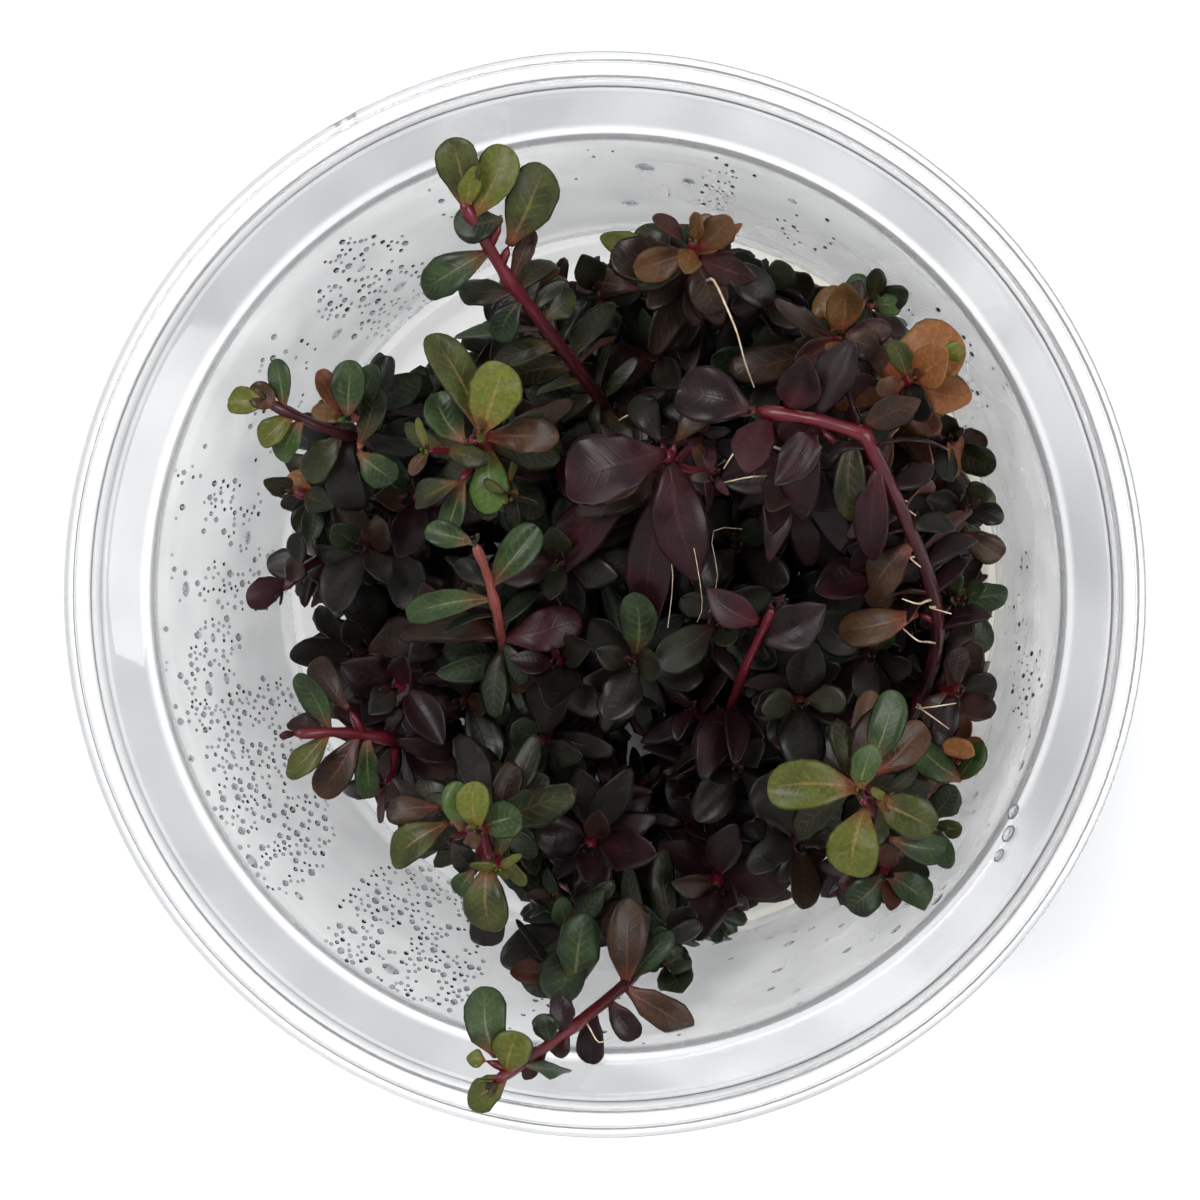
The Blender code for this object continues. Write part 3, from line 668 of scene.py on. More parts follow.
def leaf_tissue_group() -> bpy.types.ShaderNodeTree:
    """Builds the group for a leaf's surface: midrib, side veins, margin, base, mottling and age.

    Returns:
        The group. It puts out a colour, a roughness and a height.
    """
    black = (0.0, 0.0, 0.0, 1.0)
    group, tree, given, result = new_group(
        "leaf_tissue",
        {
            "Old": (COLOUR, black), "Blade": (COLOUR, black), "Young": (COLOUR, black),
            "Rib": (COLOUR, black), "Base": (COLOUR, black), "Margin": (COLOUR, black),
            "Under": (COLOUR, black), "Rib strength": (VALUE, 0.5), "Margin strength": (VALUE, 0.4),
        },
        {"Color": COLOUR, "Roughness": VALUE, "Height": VALUE},
    )
    uv = tree.add("UVMap", uv_map="UVMap")
    split = tree.add("SeparateXYZ")
    tree.join(uv.outputs["UV"], split.inputs[0])
    along, across = split.outputs["X"], split.outputs["Y"]
    off = tree.math("MULTIPLY", tree.math("ABSOLUTE", tree.math("SUBTRACT", across, 0.5)), 2.0)
    tone, youth, under = tree.mark("tone"), tree.mark("youth"), tree.mark("under")
    cloud = tree.noise(420.0, 0.0)
    fleck = tree.noise(2600.0, 0.0)
    age = tree.math("ADD", tone, tree.math("MULTIPLY", tree.math("SUBTRACT", cloud, 0.5), 0.9))
    colour = tree.blend(tree.step(age, 0.1, 0.9), given.outputs["Old"], given.outputs["Blade"])
    fresh = tree.math("MULTIPLY", tree.step(youth, 0.25, 0.95), tree.step(age, 0.0, 0.8), clamp=True)
    colour = tree.blend(fresh, colour, given.outputs["Young"])
    rib_width = tree.step(along, 0.0, 0.9, 0.16, 0.05)
    rib = tree.math("SUBTRACT", 1.0, tree.step(tree.math("DIVIDE", off, rib_width), 0.35, 1.0), clamp=True)
    rib = tree.math("MULTIPLY", rib, tree.step(along, 0.55, 1.0, 1.0, 0.0))
    slant = tree.math("SUBTRACT", along, tree.math("MULTIPLY", off, 0.22))
    veins = tree.step(tree.math("SINE", tree.math("MULTIPLY", slant, 52.0)), 0.55, 1.0)
    veins = tree.math("MULTIPLY", veins, tree.step(off, 0.85, 0.2))
    clear = tree.step(tree.math("MULTIPLY", tone, 0.7), 0.1, 0.5, 0.18, 1.0)
    rib_share = tree.math("MULTIPLY", tree.math("MULTIPLY", rib, given.outputs["Rib strength"]), clear)
    vein_share = tree.math("MULTIPLY", tree.math("MULTIPLY", veins, given.outputs["Rib strength"]), 0.2)
    colour = tree.blend(tree.math("MAXIMUM", rib_share, vein_share), colour, given.outputs["Rib"])
    base = tree.math("MULTIPLY", tree.step(along, 0.42, 0.02), tree.step(cloud, 0.25, 0.6, 0.5, 1.0))
    colour = tree.blend(tree.math("MULTIPLY", tree.math("MULTIPLY", base, 0.75), clear), colour, given.outputs["Base"])
    edge = tree.math("MULTIPLY", tree.step(off, 0.86, 0.99), given.outputs["Margin strength"])
    colour = tree.blend(edge, colour, given.outputs["Margin"])
    colour = tree.blend(tree.math("MULTIPLY", under, 0.75), colour, given.outputs["Under"])
    shade = tree.blend(tree.step(fleck, 0.35, 0.7), (0.86, 0.86, 0.86, 1.0), (1.1, 1.1, 1.1, 1.0))
    colour = tree.blend(1.0, colour, shade, "MULTIPLY")
    rough = tree.math("ADD", tree.step(cloud, 0.3, 0.7, 0.30, 0.46), tree.math("MULTIPLY", under, 0.12))
    height = tree.math("SUBTRACT", tree.math("MULTIPLY", rib, -0.6), tree.math("MULTIPLY", veins, 0.35))
    tree.join(colour, result.inputs["Color"])
    tree.join(rough, result.inputs["Roughness"])
    tree.join(height, result.inputs["Height"])
    return group


def stem_skin_group() -> bpy.types.ShaderNodeTree:
    """Builds the group for a stem's skin: long streaks, and a change of colour towards the tip.

    Returns:
        The group. It puts out a colour, a roughness and a height.
    """
    black = (0.0, 0.0, 0.0, 1.0)
    group, tree, given, result = new_group(
        "stem_skin",
        {"Low": (COLOUR, black), "Skin": (COLOUR, black), "Light": (COLOUR, black)},
        {"Color": COLOUR, "Roughness": VALUE, "Height": VALUE},
    )
    uv = tree.add("UVMap", uv_map="UVMap")
    stretch = tree.add("Mapping")
    stretch.inputs["Scale"].default_value = (14.0, 7.0, 1.0)
    tree.join(uv.outputs["UV"], stretch.inputs["Vector"])
    streak = tree.add("TexNoise")
    streak.inputs["Scale"].default_value = 1.6
    streak.inputs["Detail"].default_value = 3.0
    tree.join(stretch.outputs["Vector"], streak.inputs["Vector"])
    cloud = tree.noise(260.0, 2.0)
    youth = tree.mark("youth")
    colour = tree.blend(tree.step(youth, 0.02, 0.35), given.outputs["Low"], given.outputs["Skin"])
    light = tree.math("MULTIPLY", tree.step(streak.outputs["Fac"], 0.48, 0.72), tree.step(cloud, 0.3, 0.7, 0.3, 1.0))
    colour = tree.blend(tree.math("MULTIPLY", light, 0.7), colour, given.outputs["Light"])
    tree.join(colour, result.inputs["Color"])
    tree.join(tree.step(cloud, 0.3, 0.7, 0.28, 0.42), result.inputs["Roughness"])
    tree.join(streak.outputs["Fac"], result.inputs["Height"])
    return group


def surface_material(name: str) -> tuple[bpy.types.Material, NodeTree, bpy.types.Node]:
    """Starts a material.

    Args:
        name: The material's name.

    Returns:
        The material, its NodeTree and its Principled shader, which is joined to the output.
    """
    material = bpy.data.materials.new(name)
    material.use_nodes = True
    tree = NodeTree(material.node_tree)
    material.node_tree.nodes.clear()
    shader = tree.add("BsdfPrincipled")
    output = tree.add("OutputMaterial")
    tree.join(shader.outputs["BSDF"], output.inputs["Surface"])
    return material, tree, shader


@dataclass(frozen=True)
class LeafFinish:
    """The colours of one kind of leaf, as display colours."""

    name: str
    old: tuple[int, int, int]
    blade: tuple[int, int, int]
    young: tuple[int, int, int]
    rib: tuple[int, int, int]
    base: tuple[int, int, int]
    margin: tuple[int, int, int]
    under: tuple[int, int, int]
    rib_strength: float = 0.6
    margin_strength: float = 0.4
    bump: float = 0.22

    def material(self, tissue: bpy.types.ShaderNodeTree) -> bpy.types.Material:
        """Makes the material.

        Args:
            tissue: The leaf_tissue group.

        Returns:
            The material.
        """
        material, tree, shader = surface_material(self.name)
        surface = tree.add("Group", node_tree=tissue)
        for title in ("old", "blade", "young", "rib", "base", "margin", "under"):
            surface.inputs[title.capitalize()].default_value = linear(*getattr(self, title))
        surface.inputs["Rib strength"].default_value = self.rib_strength
        surface.inputs["Margin strength"].default_value = self.margin_strength
        bump = tree.add("Bump")
        bump.inputs["Strength"].default_value = self.bump
        bump.inputs["Distance"].default_value = 0.12 * MM
        tree.join(surface.outputs["Height"], bump.inputs["Height"])
        tree.join(surface.outputs["Color"], shader.inputs["Base Color"])
        tree.join(surface.outputs["Roughness"], shader.inputs["Roughness"])
        tree.join(bump.outputs["Normal"], shader.inputs["Normal"])
        shader.inputs["Specular IOR Level"].default_value = 0.20
        return material


@dataclass(frozen=True)
class StemFinish:
    """The colours of one kind of stem, as display colours."""

    name: str
    low: tuple[int, int, int]
    skin: tuple[int, int, int]
    light: tuple[int, int, int]

    def material(self, skin: bpy.types.ShaderNodeTree) -> bpy.types.Material:
        """Makes the material.

        Args:
            skin: The stem_skin group.

        Returns:
            The material.
        """
        material, tree, shader = surface_material(self.name)
        surface = tree.add("Group", node_tree=skin)
        for title in ("low", "skin", "light"):
            surface.inputs[title.capitalize()].default_value = linear(*getattr(self, title))
        bump = tree.add("Bump")
        bump.inputs["Strength"].default_value = 0.3
        bump.inputs["Distance"].default_value = 0.1 * MM
        tree.join(surface.outputs["Height"], bump.inputs["Height"])
        tree.join(surface.outputs["Color"], shader.inputs["Base Color"])
        tree.join(surface.outputs["Roughness"], shader.inputs["Roughness"])
        tree.join(bump.outputs["Normal"], shader.inputs["Normal"])
        shader.inputs["Specular IOR Level"].default_value = 0.35
        shader.inputs["Coat Weight"].default_value = 0.12
        shader.inputs["Coat Roughness"].default_value = 0.2
        return material


class Foliage(Enum):
    """The clump's kinds of leaf, each by the record's slot."""

    OLIVE = "olive_shoot"
    GREEN = "green_shoot"
    DARK = "dark_shoot"
    BROWN = "brown_shoot"
    MAROON = "maroon_shoot"
    BURGUNDY = "burgundy_shoot"
    AMBER = "amber_shoot"


LEAF_FINISHES = {
    Foliage.OLIVE: LeafFinish(
        "leaf_olive", (28, 30, 18), (60, 66, 29), (86, 90, 33), (132, 108, 66), (118, 56, 42),
        (24, 30, 20), (84, 52, 42), 0.5,
    ),
    Foliage.GREEN: LeafFinish(
        "leaf_green", (24, 32, 21), (44, 61, 32), (68, 88, 38), (122, 120, 82), (120, 64, 52),
        (26, 34, 26), (74, 54, 48), 0.45,
    ),
    Foliage.DARK: LeafFinish(
        "leaf_dark", (21, 19, 15), (34, 34, 23), (54, 60, 32), (66, 56, 46), (64, 30, 32),
        (40, 38, 33), (40, 26, 29), 0.35,
    ),
    Foliage.BROWN: LeafFinish(
        "leaf_brown", (34, 23, 17), (64, 43, 28), (94, 66, 33), (120, 84, 62), (124, 56, 42),
        (42, 32, 24), (76, 44, 38), 0.4,
    ),
    Foliage.MAROON: LeafFinish(
        "leaf_maroon", (28, 16, 14), (50, 23, 21), (70, 44, 28), (96, 52, 48), (84, 30, 33),
        (50, 36, 34), (54, 26, 30), 0.4,
    ),
    Foliage.BURGUNDY: LeafFinish(
        "leaf_burgundy", (24, 11, 13), (41, 14, 19), (58, 22, 26), (76, 34, 37), (70, 20, 26),
        (56, 38, 41), (48, 20, 24), 0.3,
    ),
    Foliage.AMBER: LeafFinish(
        "leaf_amber", (66, 38, 26), (106, 60, 40), (124, 80, 44), (152, 104, 72), (136, 58, 46),
        (112, 106, 46), (118, 62, 44), 0.4,
    ),
}

STEM_RED = StemFinish("stem_crimson", (40, 11, 15), (82, 12, 24), (108, 30, 40))
STEM_PINK = StemFinish("stem_pink", (80, 34, 34), (126, 62, 56), (150, 92, 82))
STEM_DARK = StemFinish("stem_dark_red", (28, 12, 14), (52, 16, 21), (80, 34, 38))
STEM_FINISHES = {
    Foliage.OLIVE: STEM_RED, Foliage.GREEN: STEM_PINK, Foliage.DARK: STEM_DARK, Foliage.BROWN: STEM_RED,
    Foliage.MAROON: STEM_RED, Foliage.BURGUNDY: STEM_RED, Foliage.AMBER: STEM_RED,
}


# The clump


@dataclass
class Room:
    """The room in and over the cup, as small cells that are taken or free, and what the light still finds.

    Leaves are grown one after another. Each takes the cells it passes through, and covers the cells of a
    flat chart that it hides from above.
    """

    cell: float = 0.62
    low: tuple[float, float, float] = (-52.0, -52.0, 0.0)
    counts: tuple[int, int, int] = (168, 168, 122)
    chart_cell: float = 0.6
    middle: tuple[float, float] = (1.6, -0.3)
    reach: tuple[float, ...] = (
        34.5, 35.0, 35.0, 37.0, 34.5, 34.0, 33.0, 32.0, 31.0, 31.0, 36.0, 31.0,
        30.0, 30.0, 32.5, 30.5, 30.0, 31.0, 32.5, 33.0, 33.0, 38.0, 35.0, 35.0,
    )

    def __post_init__(self) -> None:
        """Starts with all the room free."""
        self.taken = np.zeros(self.counts, bool)
        side = int(120 / self.chart_cell)
        self.covered = np.zeros((side, side), bool)
        self.shown = np.full((side, side), np.inf)

    def show(self, line: np.ndarray) -> None:
        """Keeps a stem in sight: no leaf grown later may pass over it."""
        for across in (-0.55, 0.0, 0.55):
            for down in (-0.55, 0.0, 0.55):
                columns, rows = self.chart(line + (across, down, 0.0))
                np.minimum.at(self.shown, (columns, rows), line[:, 2])

    def hides(self, points: np.ndarray) -> bool:
        """Says whether points pass over a stem that is kept in sight."""
        return bool((points[:, 2] > self.shown[self.chart(points)] + 0.4).any())

    def cells(self, points: np.ndarray) -> tuple[np.ndarray, np.ndarray, np.ndarray]:
        """Finds the cells that points are in."""
        places = np.floor((points - np.array(self.low)) / self.cell).astype(int)
        places = np.clip(places, 0, np.array(self.counts) - 1)
        return places[:, 0], places[:, 1], places[:, 2]

    def from_above(self, points: np.ndarray) -> np.ndarray:
        """Moves points along the lines of sight to the flat height, as x and y."""
        share = (EYE[2] - FLAT_HEIGHT) / (EYE[2] - points[:, 2])
        return EYE[:2] + (points[:, :2] - EYE[:2]) * share[:, None]

    def chart(self, points: np.ndarray) -> tuple[np.ndarray, np.ndarray]:
        """Finds the chart's cells that points hide from above."""
        places = np.floor((self.from_above(points) + 60.0) / self.chart_cell).astype(int)
        places = np.clip(places, 0, self.covered.shape[0] - 1)
        return places[:, 0], places[:, 1]

    def past_edge(self, points: np.ndarray) -> float:
        """How far the points stand out of the clump's outline or through the cup's wall, at most."""
        flat = self.from_above(points) - np.array(self.middle)
        turn = np.degrees(np.arctan2(flat[:, 1], flat[:, 0])) % 360
        edge = np.interp(turn, np.arange(len(self.reach) + 1) * 15.0, (*self.reach, self.reach[0]))
        out = float((np.hypot(flat[:, 0], flat[:, 1]) - edge).max())
        wall = 36.4 + (points[:, 2] - 2.2) * (43.3 - 36.4) / (53.5 - 2.2) - 1.0
        through = np.hypot(points[:, 0], points[:, 1]) - wall
        return max(out, float(through[points[:, 2] < 56].max(initial=-9.0)))

    def free(self, points: np.ndarray, allowed: float = 0.0) -> bool:
        """Says whether points are in free room.

        Args:
            points: The points.
            allowed: The share of them that may be in taken room.

        Returns:
            True where they are.
        """
        return float(self.taken[self.cells(points)].mean()) <= allowed

    def gain(self, points: np.ndarray) -> int:
        """Counts the open cells of the chart that the points would cover."""
        columns, rows = self.chart(points)
        open_cells = ~self.covered[columns, rows]
        return len(set(zip(columns[open_cells].tolist(), rows[open_cells].tolist())))

    def take(self, points: np.ndarray) -> None:
        """Takes the room and covers the chart."""
        self.taken[self.cells(points)] = True
        self.covered[self.chart(points)] = True


@dataclass
class Bud:
    """The youngest leaves, closed round a shoot's tip."""

    length: tuple[float, float] = (1.3, 2.3)

    def leaves(self, tip: np.ndarray, up: np.ndarray, draw: np.random.Generator, size: float) -> list[LeafPlan]:
        """Lays out two crossed pairs of young leaves.

        Args:
            tip: The stem's end.
            up: The way that the stem runs there.
            draw: The source of chance.
            size: How large they are, 1 for a full crown.

        Returns:
            The leaves.
        """
        first = square_to(np.array((0.9, 0.3, 0.2)), up)
        second = np.cross(up, first)
        turn = draw.uniform(0, math.pi)
        leaves = []
        for order in range(4):
            angle = turn + order * math.pi / 2 + draw.uniform(-0.2, 0.2)
            way = first * math.cos(angle) + second * math.sin(angle)
            rise = math.radians(draw.uniform(48, 62) if order % 2 else draw.uniform(64, 76))
            length = draw.uniform(*self.length) * (1.0 if order % 2 else 0.7) * size
            leaf = lay_leaf(tip - up * 0.35, way, up, length, rise, math.radians(-12), draw.uniform(-0.2, 0.2))
            leaf.width = length * draw.uniform(0.42, 0.55)
            leaf.youth, leaf.roundness = 1.0, 0.4
            leaves.append(leaf)
        return leaves


def lay_leaf(
    base: np.ndarray,
    way: np.ndarray,
    up: np.ndarray,
    length: float,
    rise: float,
    droop: float,
    roll: float,
) -> LeafPlan:
    """Lays out the line of one small leaf.

    Args:
        base: Where it leaves the stem, on the stem's middle.
        way: The direction square to the stem that it leaves in.
        up: The way that the stem runs.
        length: Its length.
        rise: How far it rises towards the stem's tip, in radians.
        droop: How far its outer half bends down, in radians.
        roll: How far it is turned about its own length, in radians.

    Returns:
        The leaf's plan, with no width yet.
    """
    start = way * math.cos(rise) + up * math.sin(rise)
    end = way * math.cos(rise - droop) + up * math.sin(rise - droop)
    elbow = base + start * length * 0.48
    flat = unit(np.cross(start, up))
    out = unit(np.cross(flat, start))
    side = flat * math.cos(roll) + out * math.sin(roll)
    top = out * math.cos(roll) - flat * math.sin(roll)
    if float(np.dot(top, up)) < 0:
        top = -top
    line = np.array((base, elbow, elbow + end * length * 0.52))
    return LeafPlan(base, np.array((0.0, 0.48, 1.0)), line, 0.0, side, top, fine=False)


def sighted(across: float, down: float, height: float) -> np.ndarray:
    """Finds the place over the table that a place in the picture shows.

    Args:
        across, down: The picture place, in pixels from its top left.
        height: How high over the table the place is.

    Returns:
        The place.
    """
    flat = (np.array((across, down)) - PICTURE_MIDDLE) / PICTURE_SCALE
    share = (EYE[2] - height) / (EYE[2] - FLAT_HEIGHT)
    return np.append(EYE[:2] + (flat - EYE[:2]) * share, height)


def pictured(points: np.ndarray) -> np.ndarray:
    """Finds the picture places, in pixels, of points over the table."""
    share = (EYE[2] - FLAT_HEIGHT) / (EYE[2] - points[:, 2])
    return PICTURE_MIDDLE + (EYE[:2] + (points[:, :2] - EYE[:2]) * share[:, None]) * PICTURE_SCALE


@dataclass(frozen=True)
class SeenLeaf:
    """One leaf of a crown, given one by one.

    The foot and the tip are places in the picture, in pixels. The width and the tip's rise over the foot
    are millimetres. Bright is 0 for the darkest tissue and 1 for the youngest. Lean is its turn about its
    own length, in degrees. Bow is how far its middle stands over the straight line, in millimetres.
    """

    foot: tuple[float, float]
    tip: tuple[float, float]
    width: float
    rise: float
    kind: Foliage
    bright: float = 0.5
    lean: float = 0.0
    bow: float = 0.7
    roundness: float = 0.9

    def plan(self, line: np.ndarray, ceiling: float) -> tuple[LeafPlan, Optional[StemPlan]]:
        """Lays the leaf on a stem.

        Args:
            line: The stem's line.
            ceiling: The highest that it may leave the stem.

        Returns:
            The leaf's plan, and the twig that carries it where its foot is away from the stem.
        """
        misses = np.linalg.norm((pictured(line) - self.foot) / PICTURE_SCALE, axis=1)
        place = int(np.argmin(misses - TOP_CHOICE * line[:, 2] + 9.0 * (line[:, 2] > ceiling)))
        base, twig = line[place], None
        if misses[place] > TWIG_FROM:
            base = sighted(*self.foot, base[2])
            below = line[max(place - int(2 * misses[place]), 0)]
            elbow = (below + base) / 2 + (base - below) * (0.12, 0.12, -0.08)
            twig = StemPlan(np.array((below, elbow, base)), np.array((0.5, 0.42, 0.32)), [])
        tip = sighted(*self.tip, base[2] + self.rise)
        along = unit(tip - base)
        flat = unit(np.cross(UP, along))
        out = np.cross(along, flat)
        turn = math.radians(self.lean)
        side = flat * math.cos(turn) + out * math.sin(turn)
        top = out * math.cos(turn) - flat * math.sin(turn)
        middle = (base + tip) / 2 + out * self.bow
        leaf = LeafPlan(base, np.array((0.0, 0.5, 1.0)), np.array((base, middle, tip)), self.width, side, top)
        leaf.tone, leaf.youth = self.bright, float(np.clip(1.25 * self.bright - 0.35, 0.0, 1.0))
        leaf.kind, leaf.roundness = self.kind, self.roundness
        return leaf, twig


@dataclass(frozen=True)
class SeenCrown:
    """The leaves of one crown that are listed one by one, from the top one down, and how far apart they stand.

    A whole crown stands for all the leaves of its solid.
    """

    leaves: tuple[SeenLeaf, ...]
    gap: float = 0.7
    whole: bool = False

    def lay(self, stem: StemPlan) -> tuple[list[LeafPlan], list[StemPlan]]:
        """Lays all its leaves.

        Args:
            stem: The stem that carries them.

        Returns:
            The leaves, and the twigs that some stand on.
        """
        line, _ = smooth_line(stem.knots, 0.5)
        laid = [leaf.plan(line, line[-1][2] - self.gap * order) for order, leaf in enumerate(self.leaves)]
        return [leaf for leaf, _ in laid], [twig for _, twig in laid if twig is not None]


EYE = np.array((35.4, 9.8, 435.0))
FLAT_HEIGHT = 60.0
PICTURE_MIDDLE = np.array((598.0, 596.5))
PICTURE_SCALE = np.array((10.74, -11.05))
TOP_CHOICE = 0.03
TWIG_FROM = 1.6
OLIVE, GREEN, DARK, BROWN, MAROON, BURGUNDY, AMBER = Foliage
KIN = {
    OLIVE: (GREEN, BROWN, DARK), GREEN: (OLIVE, DARK, BROWN), DARK: (GREEN, MAROON, BROWN),
    BROWN: (OLIVE, MAROON, DARK), MAROON: (BROWN, DARK, BURGUNDY), BURGUNDY: (MAROON, BROWN, DARK),
    AMBER: (BROWN, OLIVE, AMBER),
}

